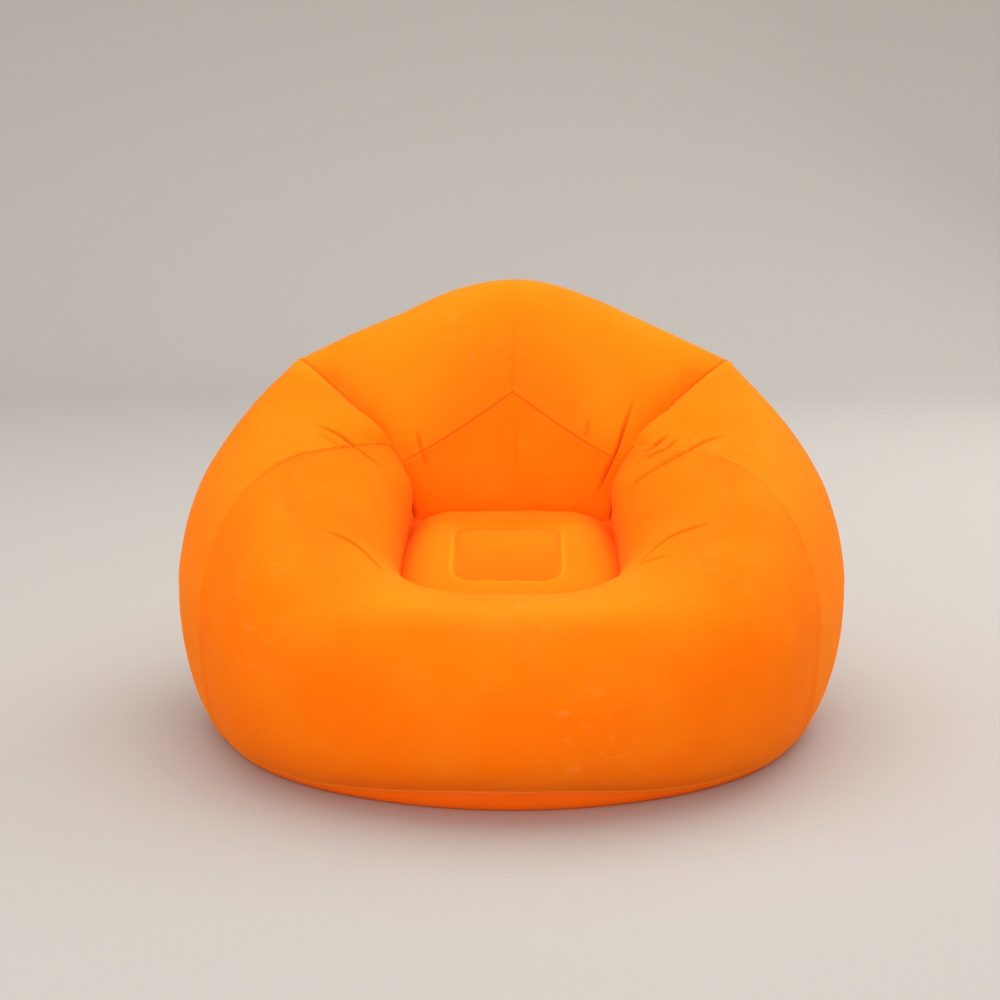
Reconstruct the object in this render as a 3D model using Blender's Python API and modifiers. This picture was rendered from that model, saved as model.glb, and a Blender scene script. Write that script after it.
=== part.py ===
"""Inflatable lounge chair of flocked PVC: one air chamber, heat-welded from cut panels.

Units are metres and +Z is up. The chair faces -Y, and its origin is on the floor under its middle.
Left and right are the sitter's own, so left is +X.

The skin is a set of lofted panels. Neighbours share the points of the seam between them, and each
panel's edge is folded into the air chamber as a weld lip.
"""
import math

import bmesh
import bpy
import numpy as np
from mathutils import Matrix, Vector
from mathutils.kdtree import KDTree

# Overall sizes
CHAIR_WIDTH = 1.07
CHAIR_DEPTH = 1.04
CHAIR_HEIGHT = 0.685

# Underside: the base seam, which curls up at the front and the rear, and the flat it rests on
BASE_WIDTH = 0.945
BASE_DEPTH = 0.872
BASE_SEAM_HEIGHT = 0.012
BASE_CURL_HEIGHT = 0.022
BASE_CURL_DEG = 28.0
REST_FLAT_SHARE = 0.965

# Height of the widest line, at the front, the side seams and the back
FRONT_BULGE_HEIGHT = 0.160
SIDE_BULGE_HEIGHT = 0.205
REAR_BULGE_HEIGHT = 0.245

# Tops: the front rim, its corners, the arms, the ears and the top of the back
FRONT_RIM_HEIGHT = 0.286
FRONT_RIM_REACH = 0.335
RIM_CORNER_HEIGHT = 0.322
RIM_CORNER_SPREAD = 0.46
RIM_CORNER_REACH = 0.275
FOREARM_HEIGHT = 0.388
FOREARM_SPREAD = 0.66
FOREARM_REACH = 0.145
ARM_HEIGHT = 0.438
ARM_SPREAD = 0.66
ARM_SET_BACK = 0.005
ARM_REAR_HEIGHT = 0.500
ARM_REAR_SPREAD = 0.75
ARM_REAR_SET_BACK = 0.140
EAR_HEIGHT = 0.553
EAR_SPREAD = 0.72
EAR_SET_BACK = 0.252
BACK_SHOULDER_HEIGHT = 0.633
BACK_SHOULDER_SPREAD = 0.35
BACK_SHOULDER_SET_BACK = 0.280
APEX_SET_BACK = 0.295

# Pocket: where the side seam meets the ear seam, the chevron seam and the seat
FORK_HEIGHT = 0.425
FORK_SPREAD = 0.40
FORK_SET_BACK = 0.130
CHEVRON_END_HEIGHT = 0.399
CHEVRON_END_SPREAD = 0.362
CHEVRON_END_SET_BACK = 0.125
CHEVRON_MID_HEIGHT = 0.438
CHEVRON_MID_SPREAD = 0.20
CHEVRON_MID_SET_BACK = 0.182
CHEVRON_PEAK_HEIGHT = 0.503
CHEVRON_PEAK_SET_BACK = 0.215
SEAT_REAR_WIDTH = 0.325
SEAT_REAR_HEIGHT = 0.300
SEAT_REAR_SET_BACK = 0.130
SEAT_REAR_BOW = 0.022
SEAT_SIDE_WIDTH = 0.345
SEAT_FRONT_WIDTH = 0.315
SEAT_FRONT_HEIGHT = 0.236
SEAT_CORNER_REACH = 0.180
SEAT_FRONT_REACH = 0.218

# Seat cushion: its crown and the rounded rectangle pressed into it
SEAT_CROWN = 0.036
SEAT_FULLNESS_SHARE = 0.40
RECESS_WIDTH = 0.172
RECESS_LENGTH = 0.200
RECESS_CORNER = 0.030
RECESS_SET_BACK = -0.050
RECESS_RISE = 0.012
RECESS_LIP = 0.012

# Azimuths of the seams and of the lines between them, in degrees from the front
SIDE_SEAM_BASE_DEG = 73.0
SIDE_SEAM_BULGE_DEG = 64.0
ARM_MIDDLE_DEG = 95.0
EAR_SEAM_DEG = 128.0
BACK_MIDDLE_DEG = 154.0
CENTRE_SEAM_DEG = 180.0
TUCK_TURN_DEG = 66.0

# Sheet, weld lips and the gap between pieces
SHEET = 0.0009
WELD_LIP = 0.006
SEAM_PINCH = 0.014
BACK_SWELL = 0.018
GAP = 0.0003
SEAM_MATCH = 0.0002
NEIGHBOUR_COUNT = 8
# A direction along no seam: two lips welded together are folded on the same diagonals by it
LIP_FOLD_SHARES = np.array((0.31, 0.57, 0.76))

# Fullness of the curves between the named lines: 1 is a quarter ellipse, less is fuller
SHOULDER_FULLNESS_SHARE = 0.95
ROLL_FULLNESS_SHARE = 0.85
EAR_RUN_POWER_SHARE = 1.3

# Counts of facets
TUCK_ROWS = 3
SHOULDER_ROWS = 5
NECK_ROWS = 5
FORK_ROWS = 1
POCKET_ROWS = 3
ARM_COLUMNS = 8
BACK_COLUMNS = 7
SEAT_SIDE_ROWS = 8
SEAT_COLUMNS = 2 * BACK_COLUMNS
FRONT_COLUMNS = SEAT_COLUMNS + 2 * SEAT_SIDE_ROWS
FOREARM_COLUMNS = SEAT_SIDE_ROWS // 2
SEAT_REFINE_STEPS = 2
RECESS_SIDE_COLUMNS = 7
RECESS_END_ROWS = 3
RIM_ROWS = NECK_ROWS + FORK_ROWS + POCKET_ROWS
BASE_RING_SHARES = (0.995, 0.982, 0.965, 0.45)
ARM_TIP_SHARE = 0.12

# Inner sheets: the tube under the seat and the webs behind the chevron seam
TIE_SHEET = 0.0006
TUBE_INSET = 0.016
TUBE_CORNER_STEPS = 6
TUBE_VENT_DIAMETER = 0.030
TUBE_VENT_HEIGHT = 0.130
WEB_BELOW_ROWS = TUCK_ROWS + 2
WEB_END_COLUMNS = 1

# Valve, low on the left back panel
VALVE_BELOW_ROWS = TUCK_ROWS - 1
VALVE_BESIDE_COLUMNS = 4
VALVE_FLANGE_DIAMETER = 0.056
VALVE_FLANGE_THICKNESS = 0.0016
VALVE_NECK_DIAMETER = 0.0340
VALVE_NECK_WALL = 0.0022
VALVE_NECK_PROUD = 0.0050
VALVE_NECK_LENGTH = 0.0200
VALVE_HOLE_CLEARANCE = 0.0004
PLUG_HEAD_DIAMETER = 0.0420
PLUG_HEAD_THICKNESS = 0.0030
PLUG_BORE_DIAMETER = 0.0180
PLUG_RECESS = 0.0020
PLUG_FIT = 0.0004
PLUG_SPOKE_WIDTH = 0.0020
PLUG_SPOKES = 2
CAP_DIAMETER = 0.0250
CAP_THICKNESS = 0.0022
CAP_STOPPER_LENGTH = 0.0070
CAP_STOPPER_TOP_DIAMETER = 0.0170
CAP_STOPPER_END_DIAMETER = 0.0140
CAP_HINGE_OFFSET = 0.0190
CAP_STRAP_WIDTH = 0.0080
CAP_STRAP_THICKNESS = 0.0012
FLAP_DIAMETER = 0.0220
FLAP_THICKNESS = 0.0008
TURN_STEPS = 32
CUT_OVERRUN = 0.0100
MERGE_DISTANCE = 0.00001

# Colours, linear
ORANGE = (1.0, 0.216, 0.006)
ORANGE_BASE = (0.86, 0.17, 0.006)
CLEAR_WHITE = (0.72, 0.72, 0.70)
CAP_GREY = (0.30, 0.30, 0.31)

COLLECTION_NAME = "inflatable_sofa"
CUTTER_COLLECTION_NAME = "cutters"


def clear_scene():
    """Remove every object, mesh and collection that the file opened with."""
    for scene_object in list(bpy.data.objects):
        bpy.data.objects.remove(scene_object, do_unlink=True)
    for collection in list(bpy.data.collections):
        bpy.data.collections.remove(collection)


def new_collection(name):
    """Add a collection to the scene and return it."""
    collection = bpy.data.collections.new(name)
    bpy.context.scene.collection.children.link(collection)
    return collection


def make_material(name, colour, roughness, metallic=0.0):
    """Return a Principled material."""
    material = bpy.data.materials.new(name)
    material.use_nodes = True
    shader = material.node_tree.nodes["Principled BSDF"]
    shader.inputs["Base Color"].default_value = (*colour, 1.0)
    shader.inputs["Roughness"].default_value = roughness
    shader.inputs["Metallic"].default_value = metallic
    return material


def point_at(azimuth_deg, width, depth, height, draw_in=0.0):
    """Return the point of an ellipse at an azimuth from the front, drawn in toward the middle."""
    azimuth = math.radians(azimuth_deg)
    across = (width / 2 - draw_in) * math.sin(azimuth)
    along = -(depth / 2 - draw_in) * math.cos(azimuth)
    return np.array((across, along, height))


def bulge_height(azimuth_deg):
    """Return the height of the widest line at an azimuth."""
    stations = (0.0, SIDE_SEAM_BULGE_DEG, EAR_SEAM_DEG, CENTRE_SEAM_DEG)
    heights = (FRONT_BULGE_HEIGHT, SIDE_BULGE_HEIGHT, REAR_BULGE_HEIGHT, REAR_BULGE_HEIGHT)
    return float(np.interp(azimuth_deg, stations, heights))


def base_seam_height(azimuth_deg):
    """Return the height of the base seam at an azimuth, with its curl at the front and the rear."""
    from_end = min(azimuth_deg, CENTRE_SEAM_DEG - azimuth_deg)
    return BASE_SEAM_HEIGHT + BASE_CURL_HEIGHT * math.exp(-(from_end / BASE_CURL_DEG) ** 2)


def tuck(start, end, steps):
    """Return the arc from the base seam out to the widest line, without its start."""
    turn = math.radians(TUCK_TURN_DEG)
    points = []
    for step in range(1, steps + 1):
        angle = turn * (1 - step / steps)
        out_share = (1 - math.cos(angle)) / (1 - math.cos(turn))
        down_share = math.sin(angle) / math.sin(turn)
        points.append(blend_plan_and_height(end, start, out_share, down_share))
    return points


def shoulder(start, end, steps, fullness=SHOULDER_FULLNESS_SHARE):
    """Return the arc from the widest line up to a top, without its start."""
    points = []
    for step in range(1, steps + 1):
        angle = math.pi / 2 * step / steps
        plan_share = 1 - max(math.cos(angle), 0.0) ** fullness
        rise_share = math.sin(angle) ** fullness
        points.append(blend_plan_and_height(start, end, plan_share, rise_share))
    return points


def roll(start, end, steps, fullness=ROLL_FULLNESS_SHARE):
    """Return the arc from a top over and down into the pocket, without its start."""
    points = []
    for step in range(1, steps + 1):
        angle = math.pi / 2 * step / steps
        plan_share = math.sin(angle) ** fullness
        drop_share = 1 - max(math.cos(angle), 0.0) ** fullness
        points.append(blend_plan_and_height(start, end, plan_share, drop_share))
    return points


def run(start, end, steps, power=1.0):
    """Return points on the straight plan line between two points, whose height follows a power."""
    points = []
    for step in range(1, steps + 1):
        share = step / steps
        points.append(blend_plan_and_height(start, end, share, share ** power))
    return points


def blend_plan_and_height(start, end, plan_share, height_share):
    """Return a point between two points, with one share for the plan and one for the height."""
    between = start + (end - start) * plan_share
    between[2] = start[2] + (end[2] - start[2]) * height_share
    return between


def outer_line(base_deg, bulge_deg, top, draw_in):
    """Return the line from the base seam over the widest line to a top."""
    start = point_at(base_deg, BASE_WIDTH, BASE_DEPTH, base_seam_height(base_deg))
    widest = point_at(bulge_deg, CHAIR_WIDTH, CHAIR_DEPTH, bulge_height(bulge_deg), draw_in)
    return [start] + tuck(start, widest, TUCK_ROWS) + shoulder(widest, top, SHOULDER_ROWS)


def natural_spline(stations, values, wanted):
    """Return a natural cubic spline through values at stations, read at the wanted stations."""
    stations = np.asarray(stations, dtype=float)
    values = np.asarray(values, dtype=float)
    count = len(stations)
    spans = np.diff(stations)
    system = np.eye(count)
    right = np.zeros_like(values)
    for index in range(1, count - 1):
        system[index, index - 1] = spans[index - 1]
        system[index, index] = 2 * (spans[index - 1] + spans[index])
        system[index, index + 1] = spans[index]
        slope_after = (values[index + 1] - values[index]) / spans[index]
        slope_before = (values[index] - values[index - 1]) / spans[index - 1]
        right[index] = 6 * (slope_after - slope_before)
    second = np.linalg.solve(system, right)
    result = []
    for station in wanted:
        index = min(max(int(np.searchsorted(stations, station)) - 1, 0), count - 2)
        span = spans[index]
        after = (station - stations[index]) / span
        before = 1 - after
        bend = (before ** 3 - before) * second[index] + (after ** 3 - after) * second[index + 1]
        result.append(before * values[index] + after * values[index + 1] + bend * span ** 2 / 6)
    return np.array(result)


def loft(lines, stations, columns):
    """Return a grid of points [row][column], with each row a spline through the lines."""
    lines = [np.array(line) for line in lines]
    rows = len(lines[0])
    wanted = range(columns + 1)
    return np.array([natural_spline(stations, [line[row] for line in lines], wanted)
                     for row in range(rows)])


def mirrored(line):
    """Return a line's points on the other side of the chair."""
    return [np.array((-point[0], point[1], point[2])) for point in line]


def mirrored_grid(grid):
    """Return a panel's grid on the other side of the chair, still facing out."""
    flipped = grid[:, ::-1, :].copy()
    flipped[:, :, 0] *= -1
    return flipped


def seam_lines():
    """Return the named lines of the left half: the seams and the lines between them."""
    fork = np.array((FORK_SPREAD / 2, FORK_SET_BACK, FORK_HEIGHT))
    chevron_end = np.array((CHEVRON_END_SPREAD / 2, CHEVRON_END_SET_BACK, CHEVRON_END_HEIGHT))
    chevron_mid = np.array((CHEVRON_MID_SPREAD / 2, CHEVRON_MID_SET_BACK, CHEVRON_MID_HEIGHT))
    chevron_peak = np.array((0.0, CHEVRON_PEAK_SET_BACK, CHEVRON_PEAK_HEIGHT))
    seat_rear = np.array((SEAT_REAR_WIDTH / 2, SEAT_REAR_SET_BACK, SEAT_REAR_HEIGHT))
    arm_top = np.array((ARM_SPREAD / 2, ARM_SET_BACK, ARM_HEIGHT))
    arm_rear_top = np.array((ARM_REAR_SPREAD / 2, ARM_REAR_SET_BACK, ARM_REAR_HEIGHT))
    ear = np.array((EAR_SPREAD / 2, EAR_SET_BACK, EAR_HEIGHT))
    back_top = np.array((BACK_SHOULDER_SPREAD / 2, BACK_SHOULDER_SET_BACK, BACK_SHOULDER_HEIGHT))
    apex = np.array((0.0, APEX_SET_BACK, CHAIR_HEIGHT))
    pocket_run = run(fork, chevron_end, FORK_ROWS) + run(chevron_end, seat_rear, POCKET_ROWS)
    side_outer = outer_line(SIDE_SEAM_BASE_DEG, SIDE_SEAM_BULGE_DEG, arm_top, SEAM_PINCH)
    side = side_outer + roll(arm_top, fork, NECK_ROWS, 1.0)
    ear_line = outer_line(EAR_SEAM_DEG, EAR_SEAM_DEG, ear, SEAM_PINCH)
    ear_line = ear_line + run(ear, fork, NECK_ROWS, EAR_RUN_POWER_SHARE)
    arm_middle = outer_line(ARM_MIDDLE_DEG, ARM_MIDDLE_DEG, arm_rear_top, 0.0)
    arm_middle = arm_middle + roll(arm_rear_top, fork, NECK_ROWS, 1.0)
    back_middle = outer_line(BACK_MIDDLE_DEG, BACK_MIDDLE_DEG, back_top, -BACK_SWELL)
    back_middle = back_middle + roll(back_top, chevron_mid, NECK_ROWS + FORK_ROWS)
    centre = outer_line(CENTRE_SEAM_DEG, CENTRE_SEAM_DEG, apex, 0.0)
    centre = centre + roll(apex, chevron_peak, NECK_ROWS + FORK_ROWS)
    return {"side": side, "ear": ear_line, "arm_middle": arm_middle, "back_middle": back_middle,
            "centre": centre, "pocket_run": pocket_run}


def front_grid(lines):
    """Return the front panel's grid, from the right side seam round the front to the left one."""
    side = lines["side"] + lines["pocket_run"]
    column_base_deg = SIDE_SEAM_BASE_DEG / (FRONT_COLUMNS / 2)
    column_bulge_deg = SIDE_SEAM_BULGE_DEG / (FRONT_COLUMNS / 2)
    columns_to_forearm = FRONT_COLUMNS / 2 - FOREARM_COLUMNS
    columns_to_corner = FRONT_COLUMNS / 2 - SEAT_SIDE_ROWS
    seat_side_height = SEAT_FRONT_HEIGHT + (SEAT_REAR_HEIGHT - SEAT_FRONT_HEIGHT) / 2
    seat_side_y = (SEAT_REAR_SET_BACK - SEAT_CORNER_REACH) / 2
    forearm_top = np.array((FOREARM_SPREAD / 2, -FOREARM_REACH, FOREARM_HEIGHT))
    forearm = outer_line(column_base_deg * columns_to_forearm, column_bulge_deg * columns_to_forearm,
                         forearm_top, 0.0)
    seat_side = np.array((SEAT_SIDE_WIDTH / 2, seat_side_y, seat_side_height))
    forearm = forearm + roll(forearm_top, seat_side, RIM_ROWS)
    corner_top = np.array((RIM_CORNER_SPREAD / 2, -RIM_CORNER_REACH, RIM_CORNER_HEIGHT))
    corner = outer_line(column_base_deg * columns_to_corner, column_bulge_deg * columns_to_corner,
                        corner_top, 0.0)
    seat_corner = np.array((SEAT_FRONT_WIDTH / 2, -SEAT_CORNER_REACH, SEAT_FRONT_HEIGHT))
    corner = corner + roll(corner_top, seat_corner, RIM_ROWS)
    rim = np.array((0.0, -FRONT_RIM_REACH, FRONT_RIM_HEIGHT))
    front = outer_line(0.0, 0.0, rim, 0.0)
    seat_front = np.array((0.0, -SEAT_FRONT_REACH, SEAT_FRONT_HEIGHT))
    front = front + roll(rim, seat_front, RIM_ROWS)
    middle = FRONT_COLUMNS / 2
    left_stations = (FRONT_COLUMNS - SEAT_SIDE_ROWS, FRONT_COLUMNS - FOREARM_COLUMNS, FRONT_COLUMNS)
    stations = (0, FOREARM_COLUMNS, SEAT_SIDE_ROWS, middle) + left_stations
    right_lines = [mirrored(side), mirrored(forearm), mirrored(corner)]
    return loft(right_lines + [front, corner, forearm, side], stations, FRONT_COLUMNS)


def arm_grid(lines):
    """Return the left arm panel's grid, which narrows to a tip at the fork of its two seams."""
    stations = (0, ARM_COLUMNS / 2, ARM_COLUMNS)
    grid = loft([lines["side"], lines["arm_middle"], lines["ear"]], stations, ARM_COLUMNS)
    grid[-1] = grid[-1] + (grid[-2] - grid[-1]) * ARM_TIP_SHARE
    return grid


def back_grid(lines):
    """Return the left back panel's grid, from the ear seam to the centre seam.

    Up to the top the curve across runs on into the right panel, so the back is round at the centre
    seam. From there down it sharpens, row by row, into the peak of the chevron seam.
    """
    stations = (0, BACK_COLUMNS / 2, BACK_COLUMNS, BACK_COLUMNS * 3 / 2, 2 * BACK_COLUMNS)
    ear = lines["ear"] + lines["pocket_run"][:FORK_ROWS]
    middle = lines["back_middle"]
    across = [ear, middle, lines["centre"], mirrored(middle), mirrored(ear)]
    rounded = loft(across, stations, BACK_COLUMNS)
    peaked = loft(across[:3], stations[:3], BACK_COLUMNS)
    past_top = np.arange(len(ear)) - (TUCK_ROWS + SHOULDER_ROWS)
    sharpness = np.clip(past_top / (NECK_ROWS + FORK_ROWS), 0.0, 1.0)[:, None, None]
    return rounded * (1 - sharpness) + peaked * sharpness


def lumbar_grid(lines, chevron):
    """Return the lumbar panel's grid, from the chevron seam down to the rear of the seat."""
    left_side = [lines["pocket_run"][FORK_ROWS - 1]] + lines["pocket_run"][FORK_ROWS:]
    seat_middle = np.array((0.0, SEAT_REAR_SET_BACK + SEAT_REAR_BOW, SEAT_REAR_HEIGHT))
    corner = left_side[-1]
    stations = (0, SEAT_COLUMNS / 2, SEAT_COLUMNS)
    seat_rear = natural_spline(stations, [corner, seat_middle, mirrored([corner])[0]],
                               range(SEAT_COLUMNS + 1))
    return coons(chevron, seat_rear, np.array(left_side), np.array(mirrored(left_side)))


def coons(first_row, last_row, first_column, last_column):
    """Return the Coons patch of four edges as a grid [row][column]."""
    rows = len(first_column) - 1
    columns = len(first_row) - 1
    down = np.linspace(0, 1, rows + 1)[:, None, None]
    across = np.linspace(0, 1, columns + 1)[None, :, None]
    rows_part = (1 - down) * first_row[None, :, :] + down * last_row[None, :, :]
    columns_part = (1 - across) * first_column[:, None, :] + across * last_column[:, None, :]
    top = (1 - across) * first_row[0] + across * first_row[-1]
    bottom = (1 - across) * last_row[0] + across * last_row[-1]
    return rows_part + columns_part - (1 - down) * top - down * bottom


def refined(line, times):
    """Return a line with each straight step cut into equal parts."""
    points = [line[0]]
    for start, end in zip(line[:-1], line[1:]):
        points.extend(start + (end - start) * part / times for part in range(1, times + 1))
    return np.array(points)


def seat_floor_height(set_back):
    """Return the height of the plane that the pressed rectangle lies on."""
    run_length = SEAT_REAR_SET_BACK + SEAT_CORNER_REACH
    share = (set_back + SEAT_CORNER_REACH) / run_length
    return SEAT_FRONT_HEIGHT + (SEAT_REAR_HEIGHT - SEAT_FRONT_HEIGHT) * share + RECESS_RISE


def inside_recess(x, y):
    """Return 1 inside the rounded rectangle and 0 outside, with the lip's slope between."""
    past_x = abs(x) - (RECESS_WIDTH / 2 - RECESS_CORNER)
    past_y = abs(y - RECESS_SET_BACK) - (RECESS_LENGTH / 2 - RECESS_CORNER)
    corner_distance = math.hypot(max(past_x, 0.0), max(past_y, 0.0))
    distance = corner_distance + min(max(past_x, past_y), 0.0) - RECESS_CORNER
    share = min(max(0.5 - distance / RECESS_LIP, 0.0), 1.0)
    return share * share * (3 - 2 * share)


def seat_grid(front, lumbar):
    """Return the seat's grid, from its rear edge to its front, with its crown and its rectangle.

    The grid's inner lines follow the two edges of the rectangle's lip.
    """
    rear = refined(lumbar[-1], SEAT_REFINE_STEPS)
    lower_edge = front[-1]
    left_corner = SEAT_SIDE_ROWS + SEAT_COLUMNS
    right_side = refined(lower_edge[:SEAT_SIDE_ROWS + 1], SEAT_REFINE_STEPS)
    front_edge = refined(lower_edge[SEAT_SIDE_ROWS:left_corner + 1][::-1], SEAT_REFINE_STEPS)
    left_side = refined(lower_edge[left_corner:][::-1], SEAT_REFINE_STEPS)
    grid = coons(rear, front_edge, left_side, right_side)
    last_row, last_column = grid.shape[0] - 1, grid.shape[1] - 1
    lip_columns = (RECESS_SIDE_COLUMNS, RECESS_SIDE_COLUMNS + 1,
                   last_column - RECESS_SIDE_COLUMNS - 1, last_column - RECESS_SIDE_COLUMNS)
    lip_rows = (RECESS_END_ROWS, RECESS_END_ROWS + 1, last_row - RECESS_END_ROWS - 1, last_row - RECESS_END_ROWS)
    outer_x, inner_x = (RECESS_WIDTH + RECESS_LIP) / 2, (RECESS_WIDTH - RECESS_LIP) / 2
    outer_y, inner_y = (RECESS_LENGTH + RECESS_LIP) / 2, (RECESS_LENGTH - RECESS_LIP) / 2
    lip_x = (outer_x, inner_x, -inner_x, -outer_x)
    lip_y = tuple(RECESS_SET_BACK + offset for offset in (outer_y, inner_y, -inner_y, -outer_y))
    for row in range(1, last_row):
        stations = (0, *lip_columns, last_column)
        places = (grid[row, 0, 0], *lip_x, grid[row, -1, 0])
        grid[row, 1:-1, 0] = np.interp(range(1, last_column), stations, places)
    for column in range(1, last_column):
        stations = (0, *lip_rows, last_row)
        places = (grid[0, column, 1], *lip_y, grid[-1, column, 1])
        grid[1:-1, column, 1] = np.interp(range(1, last_row), stations, places)
    for row in range(1, last_row):
        for column in range(1, last_column):
            down = row / last_row
            across = column / last_column
            swell = (4 * down * (1 - down) * 4 * across * (1 - across)) ** SEAT_FULLNESS_SHARE
            x, y, z = grid[row, column]
            press = inside_recess(x, y)
            crowned = z + SEAT_CROWN * swell
            grid[row, column, 2] = crowned * (1 - press) + seat_floor_height(y) * press
    return grid


def base_grid(loop):
    """Return the underside's grid: rings from the base seam in to the flat, one column a point."""
    rings = [loop]
    for share in BASE_RING_SHARES:
        ring = loop * share
        lift = max(share - REST_FLAT_SHARE, 0.0) / (1 - REST_FLAT_SHARE)
        ring[:, 2] = loop[:, 2] * (1 - math.sqrt(1 - lift ** 2))
        rings.append(ring)
    return np.array(rings)


def grid_normals(grid, closed=False):
    """Return the outward unit normals of a grid's points."""
    across = np.gradient(grid, axis=1)
    if closed:
        across = (np.roll(grid, -1, axis=1) - np.roll(grid, 1, axis=1)) / 2
    down = np.gradient(grid, axis=0)
    normals = np.cross(across, down)
    lengths = np.linalg.norm(normals, axis=2, keepdims=True)
    return normals / np.maximum(lengths, np.finfo(float).tiny)


class Panel:
    """One welded sheet: a grid of outer points, its edge loop and its facing."""

    def __init__(self, name, grid, closed=False):
        """Keep the grid and work out its normals and its edge loop of (row, column) pairs."""
        self.name = name
        self.grid = grid
        self.closed = closed
        self.normals = grid_normals(grid, closed)
        rows, columns = grid.shape[0], grid.shape[1]
        if closed:
            self.edge = [(0, column) for column in range(columns)]
        else:
            top = [(0, column) for column in range(columns)]
            right = [(row, columns - 1) for row in range(1, rows)]
            bottom = [(rows - 1, column) for column in range(columns - 2, -1, -1)]
            left = [(row, 0) for row in range(rows - 2, 0, -1)]
            self.edge = top + right + bottom + left

    def index(self, row, column):
        """Return the number of a grid point."""
        return row * self.grid.shape[1] + column

    def faces(self):
        """Return the quads of the grid, and the middle cap of a closed one."""
        rows, columns = self.grid.shape[0], self.grid.shape[1]
        last_column = columns if self.closed else columns - 1
        quads = []
        for row in range(rows - 1):
            for column in range(last_column):
                after = (column + 1) % columns
                quads.append((self.index(row, column), self.index(row, after),
                              self.index(row + 1, after), self.index(row + 1, column)))
        if self.closed:
            quads.append(tuple(self.index(rows - 1, column) for column in range(columns)))
        return quads


def shared_seam_normals(panels, seat):
    """Return a tree of the points that panels share, and the outward direction at each.

    It is the mean of the panels' normals, but the lips round the seat hang straight down.
    """
    entries = [(panel, panel.grid[row, column], panel.normals[row, column])
               for panel in panels for row, column in panel.edge]
    tree = KDTree(len(entries))
    for number, entry in enumerate(entries):
        tree.insert(Vector(entry[1]), number)
    tree.balance()
    shared = []
    for panel, point, _ in entries:
        near = [entries[found[1]] for found in tree.find_range(Vector(point), SEAM_MATCH)]
        meeting = [entry[0] for entry in near]
        if all(other is panel for other in meeting):
            continue
        mean = np.sum([entry[2] for entry in near], axis=0)
        if seat in meeting:
            mean = np.array((0.0, 0.0, 1.0))
        shared.append((point, mean / np.linalg.norm(mean)))
    shared_tree = KDTree(len(shared))
    for number, (point, _) in enumerate(shared):
        shared_tree.insert(Vector(point), number)
    shared_tree.balance()
    return shared_tree, shared


def seam_normal(tree, shared, point):
    """Return the outward normal at an edge point, read from the shared points beside it."""
    _, number, distance = tree.find(Vector(point))
    if distance < SEAM_MATCH:
        return shared[number][1]
    total = np.zeros(3)
    nearest = shared[number][0]
    for _, other, spacing in tree.find_n(Vector(point), NEIGHBOUR_COUNT):
        is_first = other == number
        is_second = np.linalg.norm(shared[other][0] - nearest) > SEAM_MATCH
        if is_first or is_second:
            total = total + shared[other][1] / spacing
        if is_second:
            break
    return total / np.linalg.norm(total)


def panel_mesh(panel, tree, shared):
    """Return the open sheet of a panel: its grid, drawn back from the seams, and its weld lip."""
    points = panel.grid.reshape(-1, 3).copy()
    lip_points = []
    count = len(panel.edge)
    for place, (row, column) in enumerate(panel.edge):
        before = panel.grid[panel.edge[place - 1]]
        here = panel.grid[row, column]
        after = panel.grid[panel.edge[(place + 1) % count]]
        outward = seam_normal(tree, shared, here)
        side_before = np.cross(outward, here - before)
        side_after = np.cross(outward, after - here)
        side_before = side_before / np.linalg.norm(side_before)
        side_after = side_after / np.linalg.norm(side_after)
        mitre = (side_before + side_after) / (1 + float(side_before @ side_after))
        drawn_back = here + mitre * GAP / 2
        points[panel.index(row, column)] = drawn_back
        lip_points.append(drawn_back - outward * WELD_LIP)
    faces = panel.faces()
    first_lip = len(points)
    for place in range(count):
        following = (place + 1) % count
        here = panel.index(*panel.edge[place])
        beyond = panel.index(*panel.edge[following])
        lip_here = first_lip + place
        lip_beyond = first_lip + following
        along = panel.grid[panel.edge[following]] - panel.grid[panel.edge[place]]
        if float(along @ LIP_FOLD_SHARES) > 0:
            faces.extend(((beyond, here, lip_beyond), (lip_beyond, here, lip_here)))
        else:
            faces.extend(((beyond, here, lip_here), (lip_beyond, beyond, lip_here)))
    mesh = bpy.data.meshes.new(panel.name)
    mesh.from_pydata(list(map(tuple, points)) + list(map(tuple, lip_points)), [], faces)
    mesh.update()
    mesh.shade_smooth()
    return mesh


def add_object(name, mesh, collection, material):
    """Add an object with a mesh and a material to a collection."""
    part = bpy.data.objects.new(name, mesh)
    mesh.materials.append(material)
    collection.objects.link(part)
    return part


def thicken(part, thickness, offset=-1.0):
    """Give an open sheet its thickness with Solidify."""
    solidify = part.modifiers.new("sheet", "SOLIDIFY")
    solidify.thickness = thickness
    solidify.offset = offset
    solidify.use_even_offset = True
    solidify.use_rim = True
    return solidify


def build_skin(lines):
    """Return every welded panel of the skin, by name."""
    front = front_grid(lines)
    left_arm = arm_grid(lines)
    left_back = back_grid(lines)
    right_arm = mirrored_grid(left_arm)
    right_back = mirrored_grid(left_back)
    chevron = np.concatenate((left_back[-1], right_back[-1][1:]))
    lumbar = lumbar_grid(lines, chevron)
    seat = seat_grid(front, lumbar)
    loop = np.concatenate((front[0][:-1], left_arm[0][:-1], left_back[0][:-1],
                           right_back[0][:-1], right_arm[0][:-1]))
    panels = [Panel("front_panel", front), Panel("left_arm_panel", left_arm),
              Panel("right_arm_panel", right_arm), Panel("left_back_panel", left_back),
              Panel("right_back_panel", right_back), Panel("lumbar_panel", lumbar),
              Panel("seat_panel", seat), Panel("base_panel", base_grid(loop[::-1]), closed=True)]
    return {panel.name: panel for panel in panels}


def sheet_mesh(name, points, quads):
    """Return a mesh of a plain sheet."""
    mesh = bpy.data.meshes.new(name)
    mesh.from_pydata([tuple(point) for point in points], [], quads)
    mesh.update()
    return mesh


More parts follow.
